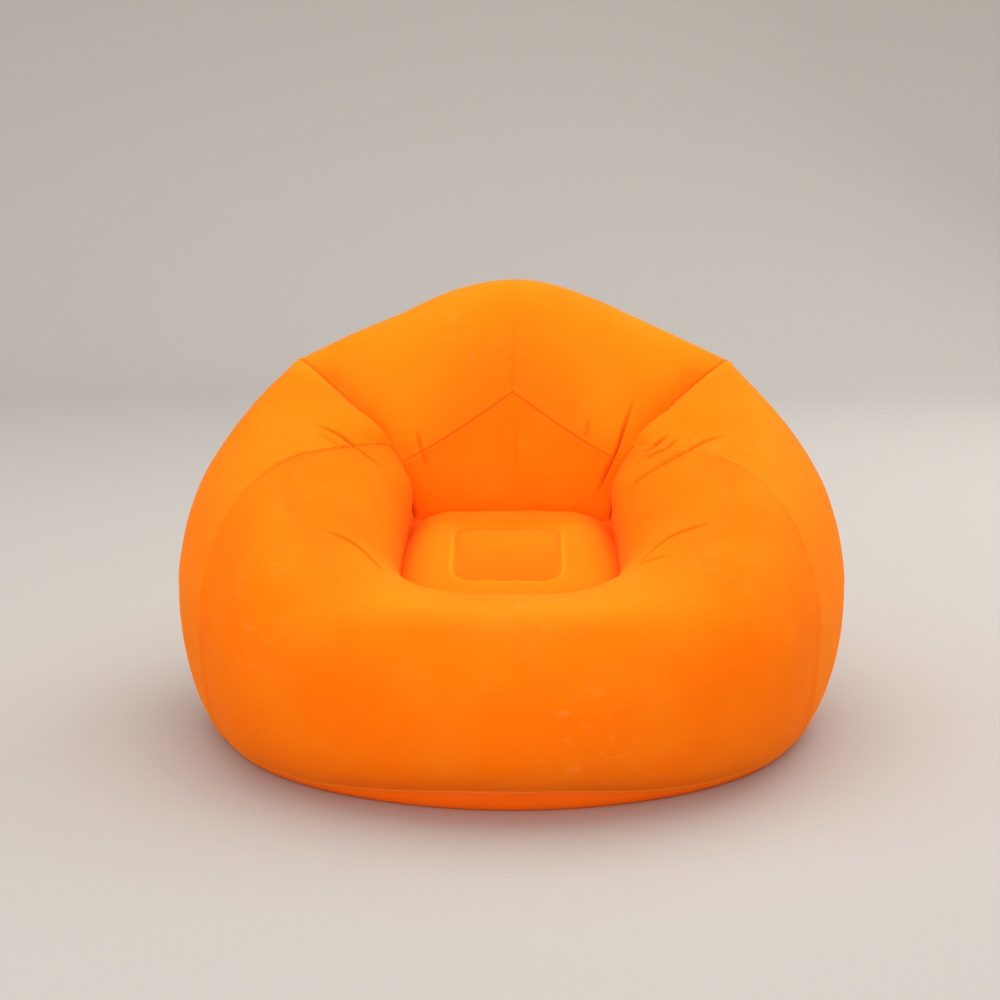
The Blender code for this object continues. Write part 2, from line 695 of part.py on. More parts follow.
def rounded_rectangle(width, length, corner):
    """Return the points of a rounded rectangle about the origin, counter-clockwise."""
    points = []
    for quarter in range(4):
        x_side = 1 if quarter in (0, 3) else -1
        y_side = 1 if quarter in (0, 1) else -1
        centre_x = x_side * (width / 2 - corner)
        centre_y = y_side * (length / 2 - corner)
        for step in range(TUBE_CORNER_STEPS + 1):
            angle = math.pi / 2 * (quarter + step / TUBE_CORNER_STEPS)
            points.append((centre_x + corner * math.cos(angle), centre_y + corner * math.sin(angle)))
    return points


def build_tension_tube(collection, cutters, material):
    """Build the sheet tube that holds the seat's rectangle down to the base."""
    outline = rounded_rectangle(RECESS_WIDTH - 2 * TUBE_INSET, RECESS_LENGTH - 2 * TUBE_INSET,
                                RECESS_CORNER)
    slope = (SEAT_REAR_HEIGHT - SEAT_FRONT_HEIGHT) / (SEAT_REAR_SET_BACK + SEAT_CORNER_REACH)
    under_seat = (SHEET + GAP) * math.hypot(1, slope)
    count = len(outline)
    lower = [(x, y + RECESS_SET_BACK, SHEET + GAP) for x, y in outline]
    upper = [(x, y + RECESS_SET_BACK, seat_floor_height(y + RECESS_SET_BACK) - under_seat)
             for x, y in outline]
    quads = [(place, (place + 1) % count, count + (place + 1) % count, count + place)
             for place in range(count)]
    tube = add_object("seat_tension_tube", sheet_mesh("seat_tension_tube", lower + upper, quads),
                      collection, material)
    thicken(tube, TIE_SHEET)
    vent = add_cylinder("tube_vent_cutter", TUBE_VENT_DIAMETER, RECESS_LENGTH, cutters)
    vent.location = (0, RECESS_SET_BACK, TUBE_VENT_HEIGHT)
    vent.rotation_euler = (math.pi / 2, 0, 0)
    cut(tube, vent)


def add_cylinder(name, diameter, length, collection):
    """Add a hidden cylinder along Z about its origin, to cut with."""
    mesh = bpy.data.meshes.new(name)
    shape = bmesh.new()
    bmesh.ops.create_cone(shape, cap_ends=True, segments=TURN_STEPS, radius1=diameter / 2,
                          radius2=diameter / 2, depth=length)
    shape.to_mesh(mesh)
    shape.free()
    return hide_tool(bpy.data.objects.new(name, mesh), collection)


def add_box(name, size, centre, collection):
    """Add a hidden box of a size about a centre, to join with."""
    mesh = bpy.data.meshes.new(name)
    shape = bmesh.new()
    placing = Matrix.Translation(centre) @ Matrix.Diagonal((*size, 1.0))
    bmesh.ops.create_cube(shape, size=1.0, matrix=placing)
    shape.to_mesh(mesh)
    shape.free()
    return hide_tool(bpy.data.objects.new(name, mesh), collection)


def hide_tool(tool, collection):
    """Link a Boolean tool to its collection and keep it out of the model."""
    collection.objects.link(tool)
    tool.hide_render = True
    tool.display_type = "WIRE"
    return tool


def cut(part, tool):
    """Cut a tool out of a part."""
    boolean = part.modifiers.new("cut", "BOOLEAN")
    boolean.operation = "DIFFERENCE"
    boolean.object = tool


def join(part, tool):
    """Join a tool to a part."""
    boolean = part.modifiers.new("join", "BOOLEAN")
    boolean.operation = "UNION"
    boolean.object = tool


def build_back_webs(panels, tree, shared, collection, material):
    """Build the two sheets that tie the chevron seam to the outer back."""
    panel = panels["left_back_panel"]
    behind = SHEET + GAP + TIE_SHEET / 2
    columns = range(WEB_END_COLUMNS, BACK_COLUMNS + 1 - WEB_END_COLUMNS)
    front_edge = []
    rear_edge = []
    for column in columns:
        seam_point = panel.grid[-1, column]
        outward = seam_normal(tree, shared, seam_point)
        front_edge.append(seam_point - outward * (WELD_LIP + GAP + TIE_SHEET / 2))
        rear_edge.append(panel.grid[WEB_BELOW_ROWS, column]
                         - panel.normals[WEB_BELOW_ROWS, column] * behind)
    count = len(front_edge)
    quads = [(place, place + 1, count + place + 1, count + place) for place in range(count - 1)]
    left_points = front_edge + rear_edge
    right_points = mirrored(left_points)
    for name, points in (("left_back_web", left_points), ("right_back_web", right_points)):
        web = add_object(name, sheet_mesh(name, points, quads), collection, material)
        thicken(web, TIE_SHEET, 0.0)


def add_turned(name, profile, closed_loop, collection, material, axis_offset=0.0):
    """Add a turned piece, from a profile that runs down its outer side.

    It turns about the line along Z that lies axis_offset beside its origin, along its own Y.
    """
    mesh = bpy.data.meshes.new(name)
    edges = [(place, place + 1) for place in range(len(profile) - 1)]
    if closed_loop:
        edges.append((len(profile) - 1, 0))
    mesh.from_pydata([(radius, axis_offset, height) for radius, height in profile], edges, [])
    part = add_object(name, mesh, collection, material)
    screw = part.modifiers.new("turn", "SCREW")
    if axis_offset:
        middle = bpy.data.objects.new(name + "_middle", None)
        middle.parent = part
        middle.location = (0, axis_offset, 0)
        collection.objects.link(middle)
        screw.object = middle
    screw.steps = TURN_STEPS
    screw.render_steps = TURN_STEPS
    screw.use_merge_vertices = True
    screw.merge_threshold = MERGE_DISTANCE
    return part


def valve_placing(panel):
    """Return the valve's frame at the middle of its facet, and how far the facet's corners stray."""
    row, column = VALVE_BELOW_ROWS, VALVE_BESIDE_COLUMNS
    corners = [panel.grid[row, column], panel.grid[row, column + 1],
               panel.grid[row + 1, column + 1], panel.grid[row + 1, column]]
    centre = np.mean(corners, axis=0)
    normal = np.cross(corners[2] - corners[0], corners[3] - corners[1])
    normal = normal / np.linalg.norm(normal)
    stray = max(abs(float((corner - centre) @ normal)) for corner in corners)
    across = np.cross((0, 0, 1), normal)
    across = across / np.linalg.norm(across)
    upward = np.cross(normal, across)
    placing = Matrix((across, upward, normal)).transposed().to_4x4()
    placing.translation = Vector(centre)
    return placing, stray


def build_valve(panel, back_part, collection, cutters, moulded, cap_material):
    """Build the two-way valve: its welded base, its plug, its one-way flap and its cap."""
    placing, stray = valve_placing(panel)
    frame = bpy.data.objects.new("valve_frame", None)
    frame.matrix_world = placing
    collection.objects.link(frame)
    neck_radius = VALVE_NECK_DIAMETER / 2
    bore_radius = neck_radius - VALVE_NECK_WALL
    flange_radius = VALVE_FLANGE_DIAMETER / 2
    flange_face = -(SHEET + stray + GAP)
    flange_back = flange_face - VALVE_FLANGE_THICKNESS
    inner_end = -VALVE_NECK_LENGTH

    hole = add_cylinder("valve_hole_cutter", VALVE_NECK_DIAMETER + 2 * VALVE_HOLE_CLEARANCE,
                        2 * CUT_OVERRUN, cutters)
    hole.parent = frame
    cut(back_part, hole)

    base = add_turned("valve_base", [
        (neck_radius, VALVE_NECK_PROUD), (neck_radius, flange_face), (flange_radius, flange_face),
        (flange_radius, flange_back), (neck_radius, flange_back), (neck_radius, inner_end),
        (bore_radius, inner_end), (bore_radius, VALVE_NECK_PROUD)], True, collection, moulded)
    base.parent = frame

    plug_radius = bore_radius - PLUG_FIT
    head_radius = PLUG_HEAD_DIAMETER / 2
    head_under = VALVE_NECK_PROUD + GAP
    head_top = head_under + PLUG_HEAD_THICKNESS
    plug_end = inner_end + PLUG_RECESS
    plug_bore = PLUG_BORE_DIAMETER / 2
    plug = add_turned("valve_plug", [
        (head_radius, head_top), (head_radius, head_under), (plug_radius, head_under),
        (plug_radius, plug_end), (plug_bore, plug_end), (plug_bore, head_top)],
        True, collection, moulded)
    plug.parent = frame
    spoke_length = plug_bore + plug_radius
    for spoke in range(PLUG_SPOKES):
        tool = add_box(f"plug_spoke_{spoke + 1}", (spoke_length, PLUG_SPOKE_WIDTH, PLUG_SPOKE_WIDTH),
                       (0, 0, plug_end + PLUG_SPOKE_WIDTH), cutters)
        tool.parent = frame
        tool.rotation_euler = (0, 0, math.pi * spoke / PLUG_SPOKES)
        join(plug, tool)

    flap_radius = FLAP_DIAMETER / 2
    flap = add_turned("valve_flap", [
        (0, FLAP_THICKNESS / 2), (flap_radius, FLAP_THICKNESS / 2),
        (flap_radius, -FLAP_THICKNESS / 2), (0, -FLAP_THICKNESS / 2)],
        False, collection, moulded, -flap_radius)
    flap.parent = frame
    flap.location = (0, flap_radius, plug_end - GAP - FLAP_THICKNESS / 2)

    cap_radius = CAP_DIAMETER / 2
    cap_under = -CAP_STRAP_THICKNESS / 2
    stopper_end = cap_under - CAP_STOPPER_LENGTH
    cap = add_turned("valve_cap", [
        (0, cap_under + CAP_THICKNESS), (cap_radius, cap_under + CAP_THICKNESS),
        (cap_radius, cap_under), (CAP_STOPPER_TOP_DIAMETER / 2, cap_under),
        (CAP_STOPPER_END_DIAMETER / 2, stopper_end), (0, stopper_end)],
        False, collection, cap_material, CAP_HINGE_OFFSET)
    cap.parent = frame
    cap.location = (0, -CAP_HINGE_OFFSET, head_top + GAP + CAP_STRAP_THICKNESS / 2)
    strap = add_box("cap_strap", (CAP_STRAP_WIDTH, CAP_HINGE_OFFSET - cap_radius / 2,
                                  CAP_STRAP_THICKNESS),
                    (0, (CAP_HINGE_OFFSET - cap_radius / 2) / 2, 0), cutters)
    strap.parent = cap
    join(cap, strap)


def main():
    """Build the whole chair."""
    clear_scene()
    collection = new_collection(COLLECTION_NAME)
    cutters = new_collection(CUTTER_COLLECTION_NAME)
    skin = make_material("flocked_pvc_orange", ORANGE, 0.9)
    underside = make_material("pvc_orange_base", ORANGE_BASE, 0.6)
    tie_sheet = make_material("pvc_sheet_clear", CLEAR_WHITE, 0.4)
    moulded = make_material("moulded_pvc_clear", CLEAR_WHITE, 0.35)
    cap_material = make_material("moulded_pvc_cap", CAP_GREY, 0.45)

    panels = build_skin(seam_lines())
    tree, shared = shared_seam_normals(list(panels.values()), panels["seat_panel"])
    parts = {}
    for panel in panels.values():
        material = underside if panel.closed else skin
        mesh = panel_mesh(panel, tree, shared)
        parts[panel.name] = add_object(panel.name, mesh, collection, material)
        thicken(parts[panel.name], SHEET)
    build_tension_tube(collection, cutters, tie_sheet)
    build_back_webs(panels, tree, shared, collection, tie_sheet)
    build_valve(panels["left_back_panel"], parts["left_back_panel"], collection, cutters, moulded,
                cap_material)


if __name__ == "__main__":
    main()
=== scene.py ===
"""Dress the inflatable lounge chair: its flocked skin with welded seams and folds, and its air valve.

Units are metres, +Z is up, the chair faces -Y, and left and right are the sitter's own (left is +X).
"""

import logging
import math
from dataclasses import dataclass, field, replace
from enum import Enum
from typing import Any, Callable, ClassVar, Sequence

import bpy
import numpy as np
from mathutils import Matrix, Vector


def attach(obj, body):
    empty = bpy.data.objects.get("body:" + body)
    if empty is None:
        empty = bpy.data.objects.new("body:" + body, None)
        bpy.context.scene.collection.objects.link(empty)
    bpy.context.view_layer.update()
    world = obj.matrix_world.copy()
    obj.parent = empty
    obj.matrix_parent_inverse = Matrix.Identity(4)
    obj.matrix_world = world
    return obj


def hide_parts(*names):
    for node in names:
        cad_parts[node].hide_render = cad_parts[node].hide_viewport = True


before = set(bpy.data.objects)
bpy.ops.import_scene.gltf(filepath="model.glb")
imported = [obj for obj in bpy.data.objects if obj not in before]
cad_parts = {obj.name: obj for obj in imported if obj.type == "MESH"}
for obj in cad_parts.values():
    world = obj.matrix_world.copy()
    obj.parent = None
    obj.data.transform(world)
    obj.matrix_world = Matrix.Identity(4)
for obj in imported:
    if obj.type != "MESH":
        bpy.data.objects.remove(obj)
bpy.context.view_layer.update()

log = logging.getLogger("air_chair")
Array = np.ndarray
MILLI = 0.001


class Slot(Enum):
    """The record's material slots."""

    FLOCK = "flocked_skin"
    BASE = "base_skin"
    TIE = "tie_sheet"
    MOULDING = "valve_moulding"
    FLAP = "valve_flap"
    CAP = "valve_cap"


class Body(Enum):
    """The bodies that the pieces ride on."""

    CHAIR = "chair"
    PLUG = "plug"
    CAP = "cap"
    FLAP = "flap"


def linear(hex_colour: str) -> tuple[float, float, float, float]:
    """Turn an sRGB hex colour into linear light.

    Args:
        hex_colour: Six hex digits after a hash.

    Returns:
        Red, green, blue and an alpha of 1.
    """
    channels = []
    for start in (1, 3, 5):
        value = int(hex_colour[start:start + 2], 16) / 255
        channels.append(value / 12.92 if value <= 0.04045 else ((value + 0.055) / 1.055) ** 2.4)
    return channels[0], channels[1], channels[2], 1.0


def add_node(tree: bpy.types.NodeTree, kind: str, inputs: dict[Any, Any] | None = None,
             **settings: Any) -> bpy.types.Node:
    """Add a node with its settings and links.

    Args:
        tree: The material's or world's node tree.
        kind: The node's type name.
        inputs: Values, or other nodes' output sockets to link, by the name or number of an input.
        **settings: The node's own settings.

    Returns:
        The new node.
    """
    node = tree.nodes.new(kind)
    for name, value in settings.items():
        setattr(node, name, value)
    for key, value in (inputs or {}).items():
        if isinstance(value, bpy.types.NodeSocket):
            tree.links.new(value, node.inputs[key])
        else:
            node.inputs[key].default_value = value
    return node


def empty_material(name: str) -> tuple[bpy.types.Material, bpy.types.NodeTree]:
    """Add a material with an empty node tree.

    Args:
        name: The material's name.

    Returns:
        The material and its node tree.
    """
    material = bpy.data.materials.new(name)
    material.use_nodes = True
    material.node_tree.nodes.clear()
    return material, material.node_tree


def mixed(tree: bpy.types.NodeTree, share: Any, one: Any, other: Any) -> bpy.types.NodeSocket:
    """Blend two colours.

    Args:
        tree: The node tree.
        share: How much of the second colour shows, as a value or a socket.
        one: The first colour.
        other: The second colour.

    Returns:
        The blended colour's socket.
    """
    return add_node(tree, "ShaderNodeMix", {"Factor": share, 6: one, 7: other}, data_type="RGBA").outputs[2]


def spread(tree: bpy.types.NodeTree, value: bpy.types.NodeSocket, low: float, high: float,
           start: float = 0.0, stop: float = 1.0) -> bpy.types.NodeSocket:
    """Carry a value from one range to another.

    Args:
        tree: The node tree.
        value: The value's socket.
        low: What the range's start becomes.
        high: What the range's end becomes.
        start: The range's start.
        stop: The range's end.

    Returns:
        The new value's socket.
    """
    return add_node(tree, "ShaderNodeMapRange", {"Value": value, "From Min": start, "From Max": stop,
                                                 "To Min": low, "To Max": high}).outputs[0]


def cloud(tree: bpy.types.NodeTree, place: bpy.types.NodeSocket, size_mm: float,
          **inputs: float) -> bpy.types.NodeSocket:
    """Add a soft noise.

    Args:
        tree: The node tree.
        place: The place's socket.
        size_mm: The size of its patches.
        **inputs: The noise's other inputs, such as Detail.

    Returns:
        The noise's socket.
    """
    return add_node(tree, "ShaderNodeTexNoise", {"Vector": place, "Scale": 1 / (size_mm * MILLI),
                                                 **inputs}).outputs["Fac"]


@dataclass(frozen=True)
class FlockedPvc:
    """Nylon flock on PVC sheet: short fibres shot upright into glue, soft and matt with a pale edge glow.

    Each panel is cut from the sheet its own way, so its pile leans its own way and one panel looks a
    little lighter than the next; set to match the light, the lean also carries painted highlight and painted
    shade. The pile also lies a little differently from place to place, which shows as pale patches of
    combed pile. Where a seam is welded the pile is melted flat and smoother. A darker colour is painted
    into fold bottoms, seam grooves and places in shade as painted shade.
    """

    name: str = "nylon_flocked_pvc_sheet"
    pile: str = "#FF7203"
    pile_with_and_painted_highlight: str = "#FF9C19"
    pile_brushed: str = "#FF8916"
    pile_against: str = "#FF6E01"
    smudge: str = "#FFA04C"
    melted: str = "#FF8020"
    # Painted shade: the darker colour put in fold bottoms, seam grooves and places that lie in shade.
    painted_shade: str = "#CE5400"
    sheen_tint: str = "#FF9838"
    brushed_patch_mm: float = 120.0
    smudge_mm: float = 26.0
    smudge_field_mm: float = 180.0
    ripple_mm: float = 34.0
    # The fibres are 0.02 mm thick, so the nap is drawn as 1.4 mm clumps, the finest that shows.
    nap_mm: float = 1.4
    brushed_share: float = 0.3
    against_share: float = 0.28
    smudge_share: float = 0.4
    painted_shade_share: float = 0.85
    weld_share: float = 0.3
    rough_pile: float = 0.94
    rough_weld: float = 0.6
    sheen: float = 0.4

    def make(self) -> bpy.types.Material:
        """Build the material."""
        material, tree = empty_material(self.name)
        place = add_node(tree, "ShaderNodeTexCoord").outputs["Object"]
        # Masks: the share of painted shade, the weld, and the pile lean with its painted light.
        lean, crease, weld = (add_node(tree, "ShaderNodeAttribute", attribute_name=name).outputs["Fac"]
                              for name in ("pile_lean_and_painted_light", "crease", "weld"))
        patches = cloud(tree, place, self.brushed_patch_mm, Detail=3.0, Roughness=0.5)
        # A higher lean takes the lighter pile colour: partly each panel's own tone, partly painted highlight and
        # painted shade.
        laid_with_painted_light = mixed(tree, lean, linear(self.pile), linear(self.pile_with_and_painted_highlight))
        tone_with_painted_light = mixed(tree, spread(tree, patches, 0.0, self.brushed_share, 0.45, 0.70), laid_with_painted_light,
                        linear(self.pile_brushed))
        against = mixed(tree, spread(tree, patches, 0.0, self.against_share, 0.45, 0.28), tone_with_painted_light,
                        linear(self.pile_against))
        stretched = add_node(tree, "ShaderNodeMapping", {"Vector": place, "Scale": (1.0, 1.0, 1.8),
                                                         "Rotation": (0.3, 0.5, 0.2)})
        smudges = cloud(tree, stretched.outputs[0], self.smudge_mm, Detail=1.6)
        spots = spread(tree, smudges, 0.0, self.smudge_share, 0.56, 0.95)
        few = spread(tree, cloud(tree, place, self.smudge_field_mm, Detail=1.0), 0.0, 1.0, 0.54, 0.74)
        smudge_share = add_node(tree, "ShaderNodeMath", {0: spots, 1: few}, operation="MULTIPLY").outputs[0]
        smudged = mixed(tree, smudge_share, against, linear(self.smudge))
        nap = cloud(tree, place, self.nap_mm, Detail=2.0, Roughness=0.6)
        speckled = add_node(tree, "ShaderNodeVectorMath", {0: smudged, "Scale": spread(tree, nap, 0.965, 1.0,
                                                                                       0.3, 0.7)},
                            operation="SCALE").outputs[0]
        painted_shade_share, weld_share = (
            add_node(tree, "ShaderNodeMath", {0: mark, 1: share}, operation="MULTIPLY").outputs[0]
            for mark, share in ((crease, self.painted_shade_share), (weld, self.weld_share)))
        painted_shade_mixed = mixed(tree, painted_shade_share, speckled, linear(self.painted_shade))
        colour = mixed(tree, weld_share, painted_shade_mixed, linear(self.melted))
        ripple = cloud(tree, place, self.ripple_mm, Detail=1.5)
        ripple_bump = add_node(tree, "ShaderNodeBump", {"Height": ripple, "Strength": 0.25,
                                                        "Distance": 1.0 * MILLI})
        nap_bump = add_node(tree, "ShaderNodeBump", {"Height": nap, "Strength": 0.3, "Distance": 0.3 * MILLI,
                                                     "Normal": ripple_bump.outputs[0]})
        shader = add_node(tree, "ShaderNodeBsdfPrincipled", {
            "Base Color": colour, "Roughness": spread(tree, weld, self.rough_pile, self.rough_weld),
            "Normal": nap_bump.outputs[0], "Specular IOR Level": 0.06, "IOR": 1.5,
            "Sheen Weight": self.sheen, "Sheen Roughness": 0.35, "Sheen Tint": linear(self.sheen_tint)})
        add_node(tree, "ShaderNodeOutputMaterial", {"Surface": shader.outputs[0]})
        return material


@dataclass(frozen=True)
class CalenderedPvc:
    """Plain PVC sheet rolled between hot cylinders: even colour, a low gloss and a faint grain."""

    name: str
    colour: str
    deep: str
    grain_mm: float = 2.2
    roughness_low: float = 0.42
    roughness_high: float = 0.6
    see_through: float = 0.0
    shine: float = 0.5

    def make(self) -> bpy.types.Material:
        """Build the material."""
        material, tree = empty_material(self.name)
        place = add_node(tree, "ShaderNodeTexCoord").outputs["Object"]
        drift = add_node(tree, "ShaderNodeTexNoise", {"Vector": place, "Scale": 14.0, "Detail": 3.0}).outputs["Fac"]
        colour = mixed(tree, drift, linear(self.colour), linear(self.deep))
        grain = add_node(tree, "ShaderNodeTexVoronoi", {"Vector": place, "Scale": 1 / (self.grain_mm * MILLI)})
        rough = spread(tree, drift, self.roughness_low, self.roughness_high)
        bump = add_node(tree, "ShaderNodeBump", {"Height": grain.outputs["Distance"], "Strength": 0.15,
                                                 "Distance": 0.2 * MILLI})
        shader = add_node(tree, "ShaderNodeBsdfPrincipled", {
            "Base Color": colour, "Roughness": rough, "Normal": bump.outputs[0],
            "Specular IOR Level": self.shine, "IOR": 1.5, "Transmission Weight": self.see_through})
        add_node(tree, "ShaderNodeOutputMaterial", {"Surface": shader.outputs[0]})
        return material


@dataclass(frozen=True)
class MouldedPvc:
    """Soft PVC shot into a steel mould: smooth, a little milky, with a soft gloss and faint flow marks."""

    name: str
    colour: str
    deep: str
    flow_mm: float = 7.0
    milky: float = 0.25
    roughness_low: float = 0.26
    roughness_high: float = 0.44

    def make(self) -> bpy.types.Material:
        """Build the material."""
        material, tree = empty_material(self.name)
        place = add_node(tree, "ShaderNodeTexCoord").outputs["Object"]
        flow = cloud(tree, place, self.flow_mm, Detail=3.0, Distortion=0.6)
        colour = mixed(tree, flow, linear(self.colour), linear(self.deep))
        rough = spread(tree, flow, self.roughness_low, self.roughness_high)
        bump = add_node(tree, "ShaderNodeBump", {"Height": flow, "Strength": 0.12,
                                                 "Distance": 0.15 * MILLI})
        shader = add_node(tree, "ShaderNodeBsdfPrincipled", {
            "Base Color": colour, "Roughness": rough, "Normal": bump.outputs[0],
            "IOR": 1.53, "Subsurface Weight": self.milky, "Subsurface Scale": 2 * MILLI})
        add_node(tree, "ShaderNodeOutputMaterial", {"Surface": shader.outputs[0]})
        return material


@dataclass(frozen=True)
class PaleFloor:
    """A plain pale studio floor with a very fine, short carpet-like grain."""

    name: str = "pale_studio_floor"
    colour: str = "#BFBBB6"
    deep: str = "#B4B0AA"

    def make(self) -> bpy.types.Material:
        """Build the material."""
        material, tree = empty_material(self.name)
        place = add_node(tree, "ShaderNodeTexCoord").outputs["Object"]
        grain = add_node(tree, "ShaderNodeTexNoise", {"Vector": place, "Scale": 260.0, "Detail": 2.0})
        colour = mixed(tree, grain.outputs["Fac"], linear(self.colour), linear(self.deep))
        shader = add_node(tree, "ShaderNodeBsdfPrincipled", {
            "Base Color": colour, "Roughness": 0.95, "Specular IOR Level": 0.1})
        add_node(tree, "ShaderNodeOutputMaterial", {"Surface": shader.outputs[0]})
        return material


@dataclass(frozen=True)
class ChairSizes:
    """The chair's named lengths, as its solid model has them, and the finer ones of the skin alone.

    The painted shade fields give the share of the darker painted shade colour on the front, the seat and
    the back's crooks. The painted highlight fields are a further lean toward the lighter pile colour on the
    front rim, the arms' crooks and the seat's bead. Both are placed to match the light that the chair is seen in.
    """

    width: float = 1.07
    depth: float = 1.04
    base_width: float = 0.945
    base_depth: float = 0.872
    base_seam_height: float = 0.012
    base_curl_height: float = 0.022
    base_curl_deg: float = 28.0
    rest_flat_share: float = 0.965
    front_bulge_height: float = 0.160
    side_bulge_height: float = 0.205
    rear_bulge_height: float = 0.245
    rim: tuple[float, float, float] = (0.0, -0.335, 0.286)
    rim_corner: tuple[float, float, float] = (0.23, -0.275, 0.322)
    forearm: tuple[float, float, float] = (0.33, -0.145, 0.388)
    arm: tuple[float, float, float] = (0.33, 0.005, 0.438)
    arm_rear: tuple[float, float, float] = (0.375, 0.140, 0.500)
    ear: tuple[float, float, float] = (0.360, 0.252, 0.553)
    back_shoulder: tuple[float, float, float] = (0.175, 0.280, 0.633)
    apex: tuple[float, float, float] = (0.0, 0.295, 0.685)
    fork: tuple[float, float, float] = (0.20, 0.130, 0.425)
    chevron_end: tuple[float, float, float] = (0.181, 0.125, 0.399)
    chevron_mid: tuple[float, float, float] = (0.10, 0.182, 0.438)
    chevron_peak: tuple[float, float, float] = (0.0, 0.215, 0.503)
    seat_rear: tuple[float, float, float] = (0.1625, 0.130, 0.300)
    seat_rear_middle: tuple[float, float, float] = (0.0, 0.152, 0.300)
    seat_side: tuple[float, float, float] = (0.1725, -0.025, 0.268)
    seat_corner: tuple[float, float, float] = (0.1575, -0.180, 0.236)
    seat_front: tuple[float, float, float] = (0.0, -0.218, 0.236)
    seat_crown: float = 0.039
    seat_shoulder: float = 0.25
    seat_roundness: float = 2.4
    seat_front_ease: float = 0.55
    recess_width: float = 0.160
    recess_length: float = 0.196
    recess_corner: float = 0.034
    recess_side_step: float = -0.0045
    recess_set_back: float = -0.0520
    recess_drop: float = 0.0070
    recess_rear_drop: float = 0.0120
    recess_front_drop: float = 0.0090
    recess_pillow: float = 0.0085
    recess_roundness: float = 3.0
    recess_groove: float = 0.0028
    recess_groove_width: float = 0.0030
    recess_bead: float = 0.0036
    recess_bead_painted_highlight: float = 0.55
    recess_bead_width: float = 0.0046
    recess_wall: float = 0.0050
    recess_rear_wall: float = 0.0160
    recess_groove_painted_shade: float = 0.3
    recess_front_painted_shade: float = 0.42
    seat_band_painted_shade: float = 0.40
    crook_painted_shade: float = 0.30
    rim_painted_highlight: float = 0.34
    rim_painted_highlight_height: float = 0.22
    rim_painted_highlight_width: float = 0.30
    rim_painted_highlight_rear: float = -0.14
    rim_painted_highlight_front: float = -0.36
    front_painted_shade: float = 0.22
    front_painted_shade_height: float = 0.235
    front_painted_shade_reach: float = 0.075
    crook_painted_highlight: float = 0.30
    crook_reach: float = 0.022
    lumbar_swell: float = 0.006
    seam_pinch: float = 0.014
    back_swell: float = 0.018
    side_seam_base_deg: float = 73.0
    side_seam_bulge_deg: float = 64.0
    arm_middle_deg: float = 95.0
    ear_seam_deg: float = 128.0
    back_middle_deg: float = 154.0
    centre_seam_deg: float = 180.0
    tuck_turn_deg: float = 66.0
    shoulder_fullness: float = 0.95
    front_fullness: float = 1.0
    arm_fullness: float = 1.06
    roll_fullness: float = 0.85
    ear_run_power: float = 1.15
    fork_share: float = 5 / 9
    chevron_share: float = 6 / 9


def select_alone(piece: bpy.types.Object) -> None:
    """Select one piece and make it the active one."""
    bpy.ops.object.select_all(action="DESELECT")
    piece.select_set(True)
    bpy.context.view_layer.objects.active = piece


def open_all() -> None:
    """Open the active piece in edit mode with all of it selected."""
    bpy.ops.object.mode_set(mode="EDIT")
    bpy.ops.mesh.select_all(action="SELECT")


def graded(length: float, step: float, fine_start: bool, fine_end: bool, last_step: float = 0.0) -> Array:
    """Return shares from 0 to 1 for a run of mesh lines, set close beside a seam.

    Args:
        length: The run's length in metres.
        step: The spacing away from the seams, in metres.
        fine_start: Whether a seam is at the start.
        fine_end: Whether a seam is at the end.
        last_step: The spacing that the run ends with, or 0 for the same all along.

    Returns:
        The shares, with 0 and 1.
    """
    near = np.cumsum((0.0, 0.7, 0.8, 0.95, 1.15, 1.4, 1.75, 2.2)) * MILLI
    near = near[near < length / 3]
    start = near if fine_start else near[:1]
    end = length - near[::-1] if fine_end else np.array((length,))
    change = (last_step or step) - step
    mean = step + change / 2
    count = max(int(round((end[0] - start[-1]) / mean)), 1)
    share = np.linspace(0, 1, count + 1)[1:-1]
    middle = start[-1] + (end[0] - start[-1]) * (share * step + share ** 2 * change / 2) / mean
    return np.concatenate((start, middle, end)) / length


def natural_loft(lines: Sequence[Array], stations: Sequence[float], wanted: Array) -> Array:
    """Return a grid of points [row][column], each row a natural cubic spline across the lines.

    Args:
        lines: The lines, each an array [row][x, y, z].
        stations: The lines' places across.
        wanted: The places across of the grid's columns.

    Returns:
        An array [row][column][x, y, z].
    """
    values = np.stack(lines)
    at = np.asarray(stations, dtype=float)
    spans = np.diff(at)
    system = np.eye(len(at))
    right = np.zeros_like(values)
    for index in range(1, len(at) - 1):
        system[index, index - 1:index + 2] = (spans[index - 1], 2 * (spans[index - 1] + spans[index]),
                                              spans[index])
        slope_after = (values[index + 1] - values[index]) / spans[index]
        right[index] = 6 * (slope_after - (values[index] - values[index - 1]) / spans[index - 1])
    second = np.linalg.solve(system, right.reshape(len(at), -1)).reshape(values.shape)
    place = np.clip(np.searchsorted(at, wanted) - 1, 0, len(at) - 2)
    span = spans[place][:, None, None]
    after = ((wanted - at[place]) / spans[place])[:, None, None]
    before = 1 - after
    bend = (before ** 3 - before) * second[place] + (after ** 3 - after) * second[place + 1]
    grid = before * values[place] + after * values[place + 1] + bend * span ** 2 / 6
    return grid.transpose(1, 0, 2)


def coons(first_row: Array, last_row: Array, first_column: Array, last_column: Array) -> Array:
    """Return the Coons patch of four edges as a grid [row][column]."""
    rows, columns = len(first_column), len(first_row)
    down = arc_shares(first_column, last_column)[:, None, None]
    across = arc_shares(first_row, last_row)[None, :, None]
    along_rows = (1 - down) * first_row[None] + down * last_row[None]
    along_columns = (1 - across) * first_column[:, None] + across * last_column[:, None]
    corners = ((1 - down) * ((1 - across) * first_row[0] + across * first_row[-1])
               + down * ((1 - across) * last_row[0] + across * last_row[-1]))
    return (along_rows + along_columns - corners).reshape(rows, columns, 3)


